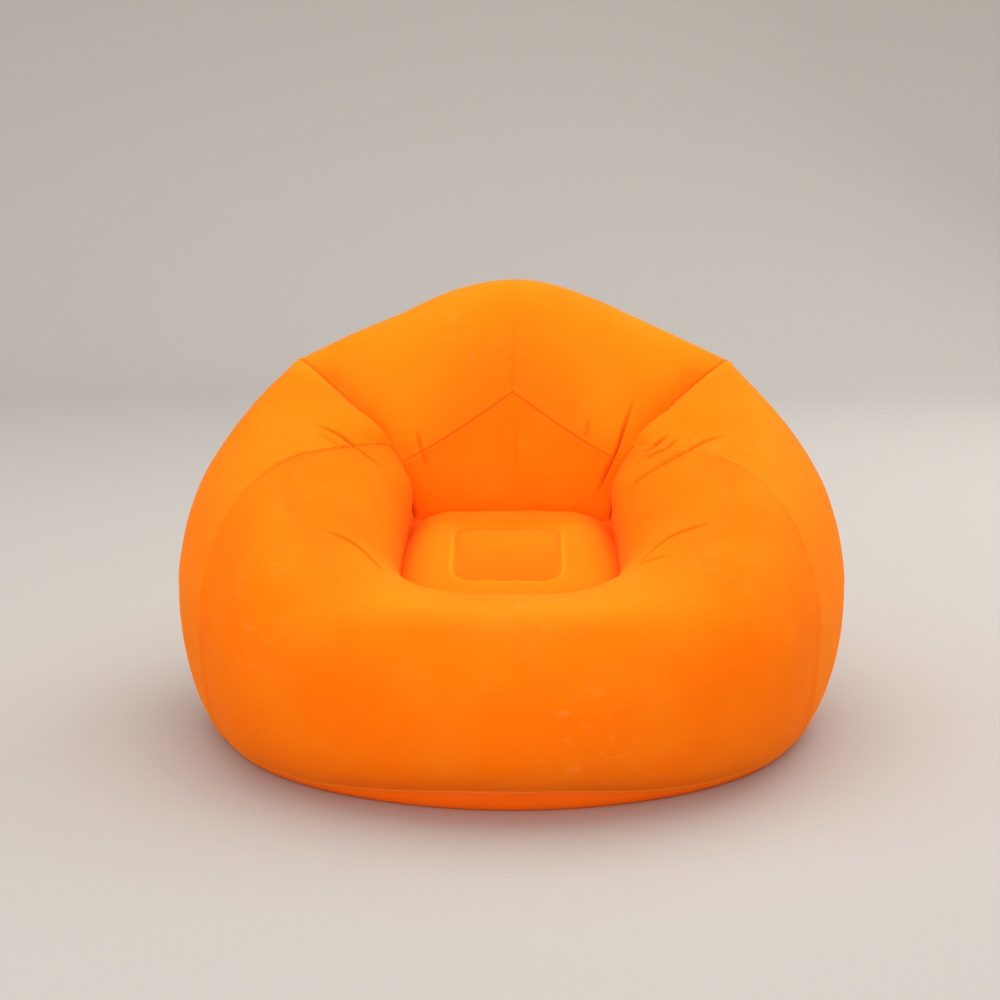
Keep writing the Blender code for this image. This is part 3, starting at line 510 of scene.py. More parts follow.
def travelled_along(line: Array) -> Array:
    """Return the length travelled from a line's start at each of its points."""
    return np.concatenate(((0.0,), np.cumsum(np.linalg.norm(np.diff(line, axis=0), axis=1))))


def arc_shares(one: Array, other: Array) -> Array:
    """Return the mean share of length at each point of two matching lines."""
    shares = []
    for line in (one, other):
        travelled = travelled_along(line)
        shares.append(travelled / travelled[-1])
    return (shares[0] + shares[1]) / 2


def mirrored(points: Array) -> Array:
    """Return points on the other side of the chair."""
    return points * np.array((-1.0, 1.0, 1.0))


def unit(vectors: Array) -> Array:
    """Return vectors of length 1."""
    lengths = np.linalg.norm(vectors, axis=-1, keepdims=True)
    return vectors / np.maximum(lengths, 1e-12)


def eased(grid: Array, first: int, last: int, edge: int = 24, rounds: int = 160) -> Array:
    """Ease out the kink that a corner in a seam leaves across a panel, and keep the seams where they are.

    Args:
        grid: The panel's points.
        first: The row where the easing starts.
        last: The row where it ends.
        edge: The number of rows and columns over which it grows.
        rounds: The number of passes.

    Returns:
        The eased points.
    """
    rows, columns = np.arange(grid.shape[0]), np.arange(grid.shape[1])
    down = smooth_step((rows - first) / edge) * smooth_step((last - rows) / edge)
    across = smooth_step(np.minimum(columns, columns[::-1]) / edge)
    weight = (down[:, None] * across[None])[1:-1, :, None] / 2
    result = grid.copy()
    for _ in range(rounds):
        middle = (result[:-2] + result[2:]) / 2
        result[1:-1] += weight * (middle - result[1:-1])
    return result


@dataclass(frozen=True)
class Meridians:
    """The lines up the chair that its panels are lofted through, at any fineness."""

    sizes: ChairSizes

    def ring_point(self, azimuth_deg: float, width: float, depth: float, height: float,
                   draw_in: float = 0.0) -> Array:
        """Return the point of an ellipse at an azimuth from the front, drawn in toward the middle."""
        azimuth = math.radians(azimuth_deg)
        return np.array(((width / 2 - draw_in) * math.sin(azimuth),
                         -(depth / 2 - draw_in) * math.cos(azimuth), height))

    def bulge_height(self, azimuth_deg: float) -> float:
        """Return the height of the widest line at an azimuth."""
        size = self.sizes
        stations = (0.0, size.side_seam_bulge_deg, size.ear_seam_deg)
        heights = (size.front_bulge_height, size.side_bulge_height, size.rear_bulge_height)
        return float(np.interp(azimuth_deg, stations, heights))

    def base_seam_height(self, azimuth_deg: float) -> float:
        """Return the height of the base seam at an azimuth, with its curl at the front and the rear."""
        size = self.sizes
        from_end = min(azimuth_deg, 180 - azimuth_deg)
        return size.base_seam_height + size.base_curl_height * math.exp(-(from_end / size.base_curl_deg) ** 2)

    def blend(self, start: Array, end: Array, plan: Array, rise: Array) -> Array:
        """Return points between two points, with one share for the plan and one for the height."""
        points = start + (end - start) * plan[:, None]
        points[:, 2] = start[2] + (end[2] - start[2]) * rise
        return points

    def outer(self, base_deg: float, bulge_deg: float, top: Sequence[float], draw_in: float,
              tuck: Array, shoulder: Array, fullness: float = 0.0) -> Array:
        """Return the line from the base seam over the widest line to a top.

        Args:
            base_deg: Azimuth at the base seam.
            bulge_deg: Azimuth at the widest line.
            top: The point at the top.
            draw_in: How far the widest point is drawn in.
            tuck: Shares of the arc from the base seam out to the widest line.
            shoulder: Shares of the arc from there to the top.
            fullness: The power that makes that arc boxier below 1, or 0 for the usual one.

        Returns:
            The line's points.
        """
        size = self.sizes
        fullness = fullness or size.shoulder_fullness
        start = self.ring_point(base_deg, size.base_width, size.base_depth, self.base_seam_height(base_deg))
        widest = self.ring_point(bulge_deg, size.width, size.depth, self.bulge_height(bulge_deg), draw_in)
        turn = math.radians(size.tuck_turn_deg)
        angle = turn * (1 - tuck)
        under = self.blend(widest, start, (1 - np.cos(angle)) / (1 - math.cos(turn)),
                           np.sin(angle) / math.sin(turn))
        angle = math.pi / 2 * shoulder[1:]
        over = self.blend(widest, np.array(top), 1 - np.maximum(np.cos(angle), 0) ** fullness,
                          np.sin(angle) ** fullness)
        return np.concatenate((under, over))

    def roll(self, start: Sequence[float], end: Sequence[float], shares: Array, fullness: float) -> Array:
        """Return the arc from a top over and down into the pocket, without its start."""
        angle = math.pi / 2 * shares[1:]
        return self.blend(np.array(start), np.array(end), np.sin(angle) ** fullness,
                          1 - np.maximum(np.cos(angle), 0) ** fullness)

    def run(self, start: Sequence[float], end: Sequence[float], shares: Array, power: float = 1.0) -> Array:
        """Return points on the plan's straight line, whose height follows a power, without the start."""
        return self.blend(np.array(start), np.array(end), shares[1:], shares[1:] ** power)


@dataclass
class Panel:
    """One welded sheet of the skin: its grid of points, what it stands for and its finish."""

    name: str
    node: str
    points: Array
    slot: Slot = Slot.FLOCK
    closed: bool = False
    flat_under: bool = False
    # The share of painted shade at each point, or None.
    painted_shade: Array | None = None
    # The panel's lean, partly its own pile tone and partly painted light set to match the light.
    pile_lean_and_painted_light: float = 0.05
    # A further lean per point: painted highlight above 0, painted shade below 0.
    raised: Array | None = None
    normals: Array = field(init=False)

    def __post_init__(self) -> None:
        """Work out the outward normals."""
        across = np.gradient(self.points, axis=1)
        if self.closed:
            across = (np.roll(self.points, -1, axis=1) - np.roll(self.points, 1, axis=1)) / 2
        facing = np.cross(across, np.gradient(self.points, axis=0))
        lengths = np.linalg.norm(facing, axis=2)
        weak = lengths < 1e-12
        facing = unit(facing)
        for row in np.unique(np.nonzero(weak)[0]):
            other = row - 1 if row > 0 else row + 1
            facing[row][weak[row]] = facing[other][weak[row]]
        self.normals = facing

    def border(self) -> list[tuple[int, int]]:
        """Return the grid places round the edge, in order."""
        rows, columns = self.points.shape[:2]
        if self.closed:
            return [(0, column) for column in range(columns)]
        top = [(0, column) for column in range(columns)]
        right = [(row, columns - 1) for row in range(1, rows)]
        bottom = [(rows - 1, column) for column in range(columns - 2, -1, -1)]
        left = [(row, 0) for row in range(rows - 2, 0, -1)]
        return top + right + bottom + left


@dataclass(frozen=True)
class Seam:
    """A weld between two panels: its line, the outward direction along it, and how deep it draws in.

    A seam that is pushed flat against its neighbour stands proud as a low ridge instead. Some seams
    also get a thin line of painted shade in their groove, or a thin line of painted highlight beside it.
    """

    name: str
    line: Array
    outward: Array
    depth: float = 0.0012
    pucker: float = 0.0005
    ridge: float = 0.0
    pucker_length: float = 0.024
    # Thin painted lines: a painted highlight beside the groove and a painted shade in it.
    paler: float = 0.0
    deeper: float = 0.0
    end_share: float = 1.0
    end_length: float = 0.16


@dataclass(frozen=True)
class Fold:
    """A fold that the air pressure presses into the skin where a bend takes up slack.

    The points lie near the skin and are drawn onto it. The valley is deep and narrow, and its two
    sides puff up. A lean above 0 puffs the side on the left of the line's direction more. The bottom of
    the valley gets painted shade.
    """

    name: str
    points: tuple[tuple[float, float, float], ...]
    depth: float
    width: float = 0.0042
    puff: float = 0.35
    lean: float = 0.0
    fade_in: float = 0.4
    fade_out: float = 0.3
    # The fold depth at which the painted shade in its bottom is full.
    full_depth: ClassVar[float] = 0.0045


def nearest_on_line(points: Array, line: Array) -> tuple[Array, Array, Array]:
    """Find the nearest place on a line for many points.

    Args:
        points: The points.
        line: The line's points.

    Returns:
        The distance, the nearest place, and the place along the line counted in its points.
    """
    starts, steps = line[:-1], np.diff(line, axis=0)
    squares = np.maximum((steps ** 2).sum(axis=1), 1e-18)
    distances, places, along = [], [], []
    for chunk in np.array_split(points, max(len(points) // 3000, 1)):
        offsets = chunk[:, None, :] - starts[None]
        share = np.clip((offsets * steps[None]).sum(axis=2) / squares[None], 0, 1)
        gaps = ((offsets - share[:, :, None] * steps[None]) ** 2).sum(axis=2)
        best = gaps.argmin(axis=1)
        row = np.arange(len(chunk))
        distances.append(np.sqrt(gaps[row, best]))
        places.append(starts[best] + share[row, best][:, None] * steps[best])
        along.append(best + share[row, best])
    return np.concatenate(distances), np.concatenate(places), np.concatenate(along)


def near_mask(points: Array, line: Array, reach: float) -> Array:
    """Return which points may lie within reach of a line, by a coarse grid of cells."""
    low = np.minimum(points.min(axis=0), line.min(axis=0)) - 2 * reach
    cells = np.floor((points - low) / reach).astype(int) + 1
    shape = np.floor((np.maximum(points.max(axis=0), line.max(axis=0)) - low) / reach).astype(int) + 4
    taken = np.zeros(tuple(shape), dtype=bool)
    dense = np.concatenate([line[:-1] + (line[1:] - line[:-1]) * share for share in (0.0, 0.5, 1.0)])
    home = np.floor((dense - low) / reach).astype(int) + 1
    for dx in (-1, 0, 1):
        for dy in (-1, 0, 1):
            for dz in (-1, 0, 1):
                taken[home[:, 0] + dx, home[:, 1] + dy, home[:, 2] + dz] = True
    return taken[cells[:, 0], cells[:, 1], cells[:, 2]]


def resampled(line: Array, step: float) -> Array:
    """Return a line's points at an even step."""
    travelled = travelled_along(line)
    count = max(int(travelled[-1] / step), 2)
    wanted = np.linspace(0, travelled[-1], count + 1)
    return np.stack([np.interp(wanted, travelled, line[:, axis]) for axis in range(3)], axis=1)


def waves(points: Array, wavelength: float, seed: int, count: int = 14) -> Array:
    """Return a smooth random height for each point, about -1 to 1, the same on every run."""
    rng = np.random.default_rng(seed)
    directions = unit(rng.normal(size=(count, 3))) * (2 * math.pi / wavelength)
    directions *= rng.uniform(0.75, 1.3, size=(count, 1))
    phases = rng.uniform(0, 2 * math.pi, size=count)
    return np.cos(points @ directions.T + phases).sum(axis=1) / math.sqrt(count)


def smooth_step(share: Array) -> Array:
    """Return 0 to 1 with soft ends."""
    share = np.clip(share, 0, 1)
    return share * share * (3 - 2 * share)


@dataclass(frozen=True)
class ValveSeat:
    """The place of the air valve, low on the left back panel, where its flange is welded flat to the sheet."""

    centre: tuple[float, float, float] = (0.17714, 0.49896, 0.20008)
    across: tuple[float, float, float] = (-0.9717, 0.23622, 0.0)
    upward: tuple[float, float, float] = (0.03061, 0.12591, 0.99157)
    outward: tuple[float, float, float] = (0.23422, 0.96351, -0.12957)
    flange_radius: float = 0.028
    hole_radius: float = 0.0164
    press_reach: float = 0.062
    groove_depth: float = 0.0009
    groove_width: float = 0.0014
    depth_reach: float = 0.05

    def axes(self) -> Array:
        """Return the three directions as rows."""
        return np.array((self.across, self.upward, self.outward))

    def local(self, points: Array) -> Array:
        """Return points in the valve's own directions, from its centre."""
        return (points - np.array(self.centre)) @ self.axes().T

    def press(self, points: Array) -> Array:
        """Press the sheet flat round the valve, in place.

        Args:
            points: The skin's points, which are moved.

        Returns:
            How far each point lies in the ring where the sheet is melted, 0 to 1.
        """
        local = self.local(points)
        radius = np.hypot(local[:, 0], local[:, 1])
        here = (radius < self.press_reach) & (np.abs(local[:, 2]) < self.depth_reach)
        ring = np.exp(-((radius - self.flange_radius) / self.groove_width) ** 2) * here
        share = smooth_step((self.press_reach - radius) / (self.press_reach - self.flange_radius)) * here
        rise = -local[:, 2] * share - self.groove_depth * ring
        points += rise[:, None] * np.array(self.outward)
        return ring


@dataclass
class Skin:
    """The eight welded panels, with their seams and folds."""

    sizes: ChairSizes = field(default_factory=ChairSizes)
    coarse_step: float = 0.0062
    step: float = 0.0026
    fine_step: float = 0.0019
    lip: float = 0.005
    weld_width: float = 0.0013
    draw_width: float = 0.0017
    bank_offset: float = 0.0042
    bank_share: float = 0.7
    swell: float = 0.020
    swell_reach: float = 0.070
    swell_fade: float = 0.365
    swell_fade_length: float = 0.075
    swell_seat_reach: float = 0.080
    blend_reach: float = 0.022
    seam_reach: float = 0.05
    pucker_offset: float = 0.008
    seams: list[Seam] = field(default_factory=list)
    panels: list[Panel] = field(default_factory=list)
    facings: list[Array] = field(default_factory=list)
    welds: list[Array] = field(default_factory=list)
    painted_shade_masks: list[Array] = field(default_factory=list)
    tone_with_painted_light: list[Array] = field(default_factory=list)
    valve_seat: ValveSeat = field(default_factory=ValveSeat)

    def lines(self, tuck: Array, shoulder: Array, neck: Array) -> dict[str, Array]:
        """Return the left half's seam lines and arm and back lines at the given shares."""
        size, meridians = self.sizes, Meridians(self.sizes)
        side_top = meridians.outer(size.side_seam_base_deg, size.side_seam_bulge_deg, size.arm,
                                   size.seam_pinch, tuck, shoulder)
        ear_top = meridians.outer(size.ear_seam_deg, size.ear_seam_deg, size.ear, size.seam_pinch, tuck,
                                  shoulder)
        arm_top = meridians.outer(size.arm_middle_deg, size.arm_middle_deg, size.arm_rear, 0.0, tuck,
                                  shoulder, size.arm_fullness)
        return {
            "side": np.concatenate((side_top, meridians.roll(size.arm, size.fork, neck, 1.0))),
            "ear": np.concatenate((ear_top, meridians.run(size.ear, size.fork, neck, size.ear_run_power))),
            "arm": np.concatenate((arm_top, meridians.roll(size.arm_rear, size.fork, neck, 1.0))),
        }

    def front(self) -> Panel:
        """Return the large wrap round the front, from the right side seam to the left one."""
        size, meridians = self.sizes, Meridians(self.sizes)
        tuck = graded(0.150, self.coarse_step, True, False)
        shoulder = graded(0.250, self.coarse_step, False, False, self.fine_step)
        neck = graded(0.130, self.fine_step, False, True)
        fork_run = np.linspace(0, 1, 12)
        pocket = graded(0.110, self.fine_step, True, True)
        rim = np.concatenate((neck * size.fork_share,
                              size.fork_share + fork_run[1:] * (size.chevron_share - size.fork_share),
                              size.chevron_share + pocket[1:] * (1 - size.chevron_share)))
        side = np.concatenate((self.lines(tuck, shoulder, neck)["side"],
                               meridians.run(size.fork, size.chevron_end, fork_run),
                               meridians.run(size.chevron_end, size.seat_rear, pocket)))
        lines = []
        for top, end, share in ((size.forearm, size.seat_side, 11 / 15), (size.rim_corner, size.seat_corner, 7 / 15),
                                (size.rim, size.seat_front, 0.0)):
            outer = meridians.outer(size.side_seam_base_deg * share, size.side_seam_bulge_deg * share, top, 0.0,
                                    tuck, shoulder, size.front_fullness)
            lines.append(np.concatenate((outer, meridians.roll(top, end, rim, size.roll_fullness))))
        forearm, corner, front = lines
        stations = (-15, -11, -7, 0, 7, 11, 15)
        wanted = graded(1.19, self.step, True, True) * 30 - 15
        grid = natural_loft([mirrored(side), mirrored(forearm), mirrored(corner), front, corner, forearm, side],
                            stations, wanted)
        fork = len(side) - len(fork_run) - len(pocket) + 2
        grid = eased(grid, fork - 55, fork + len(fork_run) + 42)
        height = grid[:, :, 2]
        # Painted shade in a band across the front below the rim, and painted highlight on the top of the rim's
        # middle.
        outside = smooth_step((size.rim_painted_highlight_front - grid[:, :, 1]) / 0.08)
        painted_shade = size.front_painted_shade * outside * np.exp(-((height - size.front_painted_shade_height)
                                                      / size.front_painted_shade_reach) ** 2)
        middle = smooth_step((size.rim_painted_highlight_width - np.abs(grid[:, :, 0])) / 0.15)
        middle = middle * smooth_step((size.rim_painted_highlight_rear - grid[:, :, 1]) / 0.08) * (1 - outside)
        raised = size.rim_painted_highlight * middle * smooth_step((height - size.rim_painted_highlight_height) / 0.06)
        return Panel("front_skin", "front_panel", grid, painted_shade=painted_shade, raised=raised)

    def arm(self) -> Panel:
        """Return the left arm's gore, which narrows to a point inside the pocket."""
        lines = self.lines(graded(0.16, self.coarse_step, True, False),
                           graded(0.34, self.coarse_step, False, False, self.fine_step),
                           graded(0.24, self.fine_step, False, False))
        grid = natural_loft([lines["side"], lines["arm"], lines["ear"]], (0.0, 0.5, 1.0),
                            graded(0.57, self.step, True, True))
        size = self.sizes
        # Painted highlight on the arm beside the ear seam, above the fork.
        steps = np.linalg.norm(np.diff(grid, axis=1), axis=2)[:, ::-1]
        beside = np.concatenate((np.zeros((len(grid), 1)), np.cumsum(steps, axis=1)), axis=1)[:, ::-1]
        high = smooth_step((grid[:, :, 2] - size.fork[2]) / 0.06)
        raised = size.crook_painted_highlight * high * np.exp(-(beside / size.crook_reach) ** 2)
        return Panel("left_arm_skin", "left_arm_panel", grid, pile_lean_and_painted_light=0.22, raised=raised)

    def back(self) -> Panel:
        """Return the left back gore, over the top from the base seam to the chevron seam."""
        size, meridians = self.sizes, Meridians(self.sizes)
        tuck = graded(0.22, self.step, True, False)
        shoulder = graded(0.44, self.step, False, False, self.step)
        neck = graded(0.20, self.fine_step, False, False)
        fork_run = graded(0.04, self.fine_step, False, True)
        over = np.concatenate((neck * 5 / 6, 5 / 6 + fork_run[1:] / 6))
        ear = np.concatenate((self.lines(tuck, shoulder, neck)["ear"],
                              meridians.run(size.fork, size.chevron_end, fork_run)))
        middle = meridians.outer(size.back_middle_deg, size.back_middle_deg, size.back_shoulder,
                                 -size.back_swell, tuck, shoulder)
        middle = np.concatenate((middle, meridians.roll(size.back_shoulder, size.chevron_mid, over,
                                                        size.roll_fullness)))
        centre = meridians.outer(size.centre_seam_deg, size.centre_seam_deg, size.apex, 0.0, tuck, shoulder)
        centre = np.concatenate((centre, meridians.roll(size.apex, size.chevron_peak, over,
                                                        size.roll_fullness)))
        columns = graded(0.46, self.step, True, True)
        across = [ear, middle, centre, mirrored(middle), mirrored(ear)]
        rounded = natural_loft(across, (0.0, 0.5, 1.0, 1.5, 2.0), columns)
        peaked = natural_loft(across[:3], (0.0, 0.5, 1.0), columns)
        sharpness = np.concatenate((np.zeros(len(ear) - len(over)), over))[:, None, None]
        grid = rounded * (1 - sharpness) + peaked * sharpness
        grid = eased(grid, len(ear) - len(fork_run) - 60, len(ear) - 1, 20)
        steps = np.linalg.norm(np.diff(grid, axis=1), axis=2)
        beside = np.concatenate((np.zeros((len(grid), 1)), np.cumsum(steps, axis=1)), axis=1)
        # Painted shade on the back beside the ear seam where it rolls into the pocket: a darker colour and a lean
        # toward the darker pile.
        crook = smooth_step(sharpness[:, :, 0] / 0.3)
        painted_shade = size.crook_painted_shade * crook * np.exp(-(beside / size.crook_reach) ** 2)
        crook_painted_shade_lean = -0.38 * crook * np.exp(-(beside / (2 * size.crook_reach)) ** 2)
        return Panel("left_back_skin", "left_back_panel", grid, painted_shade=painted_shade, pile_lean_and_painted_light=0.38, raised=crook_painted_shade_lean)

    def lumbar(self) -> Panel:
        """Return the inner back's panel, from the chevron seam down to the rear of the seat."""
        size, meridians = self.sizes, Meridians(self.sizes)
        half = graded(0.21, self.fine_step, True, True)
        lines = [np.array([size.chevron_end]), np.array([size.chevron_mid]), np.array([size.chevron_peak])]
        left = natural_loft(lines, (0.0, 0.5, 1.0), half)[0]
        chevron = np.concatenate((left, mirrored(left[-2::-1])))
        columns = np.concatenate((half, 1 + half[1:]))
        corner = np.array([size.seat_rear])
        rear = natural_loft([corner, np.array([size.seat_rear_middle]), mirrored(corner)], (0.0, 1.0, 2.0),
                            columns)[0]
        down = graded(0.13, self.fine_step, True, True)
        side = np.concatenate(([size.chevron_end], meridians.run(size.chevron_end, size.seat_rear, down)))
        grid = coons(chevron, rear, side, mirrored(side))
        swell = np.sin(math.pi * down)[:, None] * np.sin(math.pi * columns / 2)[None]
        grid[:, :, 1] -= size.lumbar_swell * swell
        return Panel("lumbar_skin", "lumbar_panel", grid, pile_lean_and_painted_light=0.0)

    def seat(self) -> Panel:
        """Return the seat, crowned, with the rounded rectangle that the inner tube pulls down."""
        size = self.sizes
        across = graded(0.33, self.fine_step, True, True)
        corner = np.array([size.seat_rear])
        rear = natural_loft([corner, np.array([size.seat_rear_middle]), mirrored(corner)], (0.0, 0.5, 1.0),
                            across)[0]
        edge = [np.array([point]) for point in (size.seat_rear, size.seat_side, size.seat_corner, size.seat_front)]
        loop = [mirrored(point) for point in edge[:3]] + edge[::-1]
        stations = (-15, -11, -7, 0, 7, 11, 15)
        down = graded(0.32, self.fine_step, True, True)
        front = natural_loft(loop, stations, 7 - 14 * across)[0]
        left = natural_loft(loop, stations, 15 - 8 * down)[0]
        grid = coons(rear, front, left, mirrored(left))
        x, y = grid[:, :, 0] - size.recess_side_step, grid[:, :, 1]
        shoulders = [1 - (1 - np.minimum(np.minimum(share, 1 - share) / size.seat_shoulder, 1))
                     ** size.seat_roundness for share in (down, across)]
        rise = np.outer(*shoulders)
        crowned = grid[:, :, 2] + size.seat_crown * rise * (1 - size.seat_front_ease * down ** 2)[:, None]
        past_x = np.abs(x) - (size.recess_width / 2 - size.recess_corner)
        past_y = np.abs(y - size.recess_set_back) - (size.recess_length / 2 - size.recess_corner)
        beyond = (np.hypot(np.maximum(past_x, 0), np.maximum(past_y, 0))
                  + np.minimum(np.maximum(past_x, past_y), 0) - size.recess_corner)
        along = np.clip((y - size.recess_set_back) / (size.recess_length / 2), -1, 1)
        rearward, forward = np.maximum(along, 0) ** 2, np.maximum(-along, 0) ** 2
        drop = (size.recess_drop + (size.recess_rear_drop - size.recess_drop) * rearward
                + (size.recess_front_drop - size.recess_drop) * forward)
        width = size.recess_wall + (size.recess_rear_wall - size.recess_wall) * rearward
        inward = np.clip(-beyond / (size.recess_width / 2), 0, 1)
        pillow = size.recess_pillow * (1 - (1 - inward) ** size.recess_roundness)
        groove = size.recess_groove * np.exp(-np.abs(beyond) / size.recess_groove_width) * (1 - 0.7 * rearward)
        bead = size.recess_bead * np.exp(-((beyond - 1.6 * size.recess_bead_width) / size.recess_bead_width) ** 2)
        sunk = drop * np.exp(-np.maximum(beyond, 0) / width)
        grid[:, :, 2] = crowned - sunk + pillow - groove + bead * (1 - rearward)
        # Painted shade in the recess's groove, over its front part and on the band behind it; painted highlight along
        # the bead at its front and sides.
        painted_shade = size.recess_groove_painted_shade * np.exp(-(beyond / size.recess_groove_width) ** 2)
        painted_shade += size.recess_front_painted_shade * smooth_step(inward / 0.12) * smooth_step(0.5 - 0.6 * along)
        band = smooth_step((y - size.recess_set_back - size.recess_length * 0.42) / 0.03) * (beyond > 0)
        painted_shade += size.seat_band_painted_shade * band * smooth_step(beyond / 0.01)
        raised = size.recess_bead_painted_highlight * np.exp(-((beyond - 1.2 * size.recess_bead_width)
                                                  / (1.3 * size.recess_bead_width)) ** 2) * (1 - rearward)
        return Panel("seat_skin", "seat_panel", grid, painted_shade=painted_shade, pile_lean_and_painted_light=0.28, raised=raised)

    def base(self, loop: Array) -> Panel:
        """Return the underside: rings from the base seam in to the flat and its middle.

        Args:
            loop: The base seam's points, clockwise from above.

        Returns:
            The panel.
        """
        size = self.sizes
        curl = 1 - (1 - size.rest_flat_share) * (1 - np.cos(np.linspace(0, math.pi / 2, 12)))
        shares = np.concatenate((curl, (0.955, 0.94, 0.9, 0.85, 0.75, 0.6, 0.45, 0.3, 0.15, 0.05)))
        grid = loop[None] * shares[:, None, None]
        lift = np.maximum(shares - size.rest_flat_share, 0) / (1 - size.rest_flat_share)
        grid[:, :, 2] = (1 - np.sqrt(1 - lift ** 2))[:, None] * loop[None, :, 2]
        return Panel("base_skin", "base_panel", grid, Slot.BASE, closed=True, flat_under=True)

    def lay_out(self) -> None:
        """Lay out all the panels and the seams between them."""
        front, arm, back, lumbar, seat = self.front(), self.arm(), self.back(), self.lumbar(), self.seat()
        right_arm = Panel("right_arm_skin", "right_arm_panel", mirrored(arm.points[:, ::-1]), pile_lean_and_painted_light=0.2,
                          raised=arm.raised[:, ::-1])
        right_back = Panel("right_back_skin", "right_back_panel", mirrored(back.points[:, ::-1]),
                           painted_shade=back.painted_shade[:, ::-1], pile_lean_and_painted_light=0.38, raised=back.raised[:, ::-1])
        bottoms = (front.points[0][:-1], arm.points[0][:-1], back.points[0][:-1], right_back.points[0][:-1],
                   right_arm.points[0][:-1])
        loop = resampled(np.concatenate((*bottoms, front.points[0][:1])), 0.006)[:-1]
        base = self.base(loop[::-1])
        self.panels = [front, arm, right_arm, back, right_back, lumbar, seat, base]
        side = self.seam("side", arm.points[:, 0], arm.normals[:, 0], front.points[:, -1], front.normals[:, -1],
                         0.0011)
        ear = self.seam("ear", arm.points[:, -1], arm.normals[:, -1], back.points[:, 0], back.normals[:, 0])
        after_fork = self.after(front.points[:, -1], self.sizes.fork)
        pocket = self.seam("pocket", front.points[after_fork:, -1], front.normals[after_fork:, -1],
                           np.concatenate((back.points[:, 0], lumbar.points[:, 0])),
                           np.concatenate((back.normals[:, 0], lumbar.normals[:, 0])), 0.0012, 0.0)
        half = (lumbar.points.shape[1] + 1) // 2
        chevron = self.seam("chevron", back.points[-1], back.normals[-1], lumbar.points[0, :half],
                            lumbar.normals[0, :half], 0.0008, 0.0003)
        # The left side seam gets a painted highlight line; the right one and the other seams get a painted shade line
        # in their groove.
        looks = {"left_side": {"paler": 0.5, "end_share": 0.4},
                 "right_side": {"depth": 1.7 * side.depth, "deeper": 0.8, "end_share": 0.35}}
        sides = []
        for seam in (side, ear, pocket, chevron):
            for hand, line, outward in (("left_", seam.line, seam.outward),
                                        ("right_", mirrored(seam.line), mirrored(seam.outward))):
                look = looks.get(hand + seam.name, {"deeper": 0.6})
                sides.append(replace(seam, name=hand + seam.name, line=line, outward=outward, **look))
        centre_out = unit(back.normals[:, -1] * np.array((0.0, 1.0, 1.0)))
        centre = Seam("centre", back.points[:, -1], centre_out, 0.0006, 0.0003)
        ring = np.concatenate((loop, loop[:1]))
        wall = np.concatenate((front.points[0], arm.points[0], back.points[0], right_back.points[0],
                               right_arm.points[0]))
        wall_out = np.concatenate((front.normals[0], arm.normals[0], back.normals[0], right_back.normals[0],
                                   right_arm.normals[0]))
        base_out = base.normals[0][::-1]
        bottom = self.seam("base", ring, np.concatenate((base_out, base_out[:1])), wall, wall_out, 0.0, 0.0004)
        # The base seam stands as a low ridge with a painted highlight line.
        bottom = replace(bottom, ridge=0.0018, paler=1.0)
        up = np.array((0.0, 0.0, 1.0))
        seat_ring = np.array([seat.points[place] for place in seat.border() + [(0, 0)]])
        seat_seam = Seam("seat", seat_ring, np.broadcast_to(up, seat_ring.shape).copy(), 0.0, 0.0)
        self.seams = sides + [centre, bottom, seat_seam]

    @staticmethod
    def after(line: Array, point: Sequence[float]) -> int:
        """Return the number of the line's point that is nearest a point."""
        return int(np.linalg.norm(line - np.array(point), axis=1).argmin())

    @staticmethod
    def seam(name: str, line: Array, outward: Array, other: Array, other_outward: Array,
             depth: float = 0.0014, pucker: float = 0.0006) -> Seam:
        """Return the seam between two edges, whose outward direction is the mean of the two panels'."""
        means = []
        for point, direction in zip(line, outward):
            nearest = int(((other - point) ** 2).sum(axis=1).argmin())
            means.append(direction + other_outward[nearest])
        return Seam(name, line, unit(np.array(means)), depth, pucker)

    def sculpt(self, folds: Sequence[Fold]) -> None:
        """Press the seams, the puckers beside them and the folds into every panel, and gather the shares of
        painted shade and painted highlight at every point.

        Args:
            folds: The folds.
        """
        points = np.concatenate([panel.points.reshape(-1, 3) for panel in self.panels])
        normals = np.concatenate([panel.normals.reshape(-1, 3) for panel in self.panels])
        count = len(points)
        nearest_seam = np.full(count, np.inf)
        directions = np.zeros((count, 3))
        # Besides the shape these gather painted light: a share of painted shade, and a lean that paints highlight or
        # shade.
        weights, drawn, ridged, tone_with_painted_light, core, puckered = np.zeros((6, count))
        for number, seam in enumerate(self.seams):
            near = np.nonzero(near_mask(points, seam.line, self.seam_reach))[0]
            distance, _, along = nearest_on_line(points[near], seam.line)
            index = np.clip(np.round(along).astype(int), 0, len(seam.line) - 1)
            travelled = travelled_along(seam.line)
            arc = np.interp(along, np.arange(len(seam.line)), travelled)
            weight = np.clip(1 - distance / self.blend_reach, 0, 1) ** 2
            directions[near] += seam.outward[index] * weight[:, None]
            weights[near] = np.maximum(weights[near], weight)
            depth = seam.depth * (1 - (1 - seam.end_share) * smooth_step(1 - (travelled[-1] - arc) / seam.end_length))
            drawn[near] = np.maximum(drawn[near], depth * np.exp(-distance / self.draw_width))
            ridged[near] += seam.ridge * np.exp(-(distance / self.draw_width) ** 2)
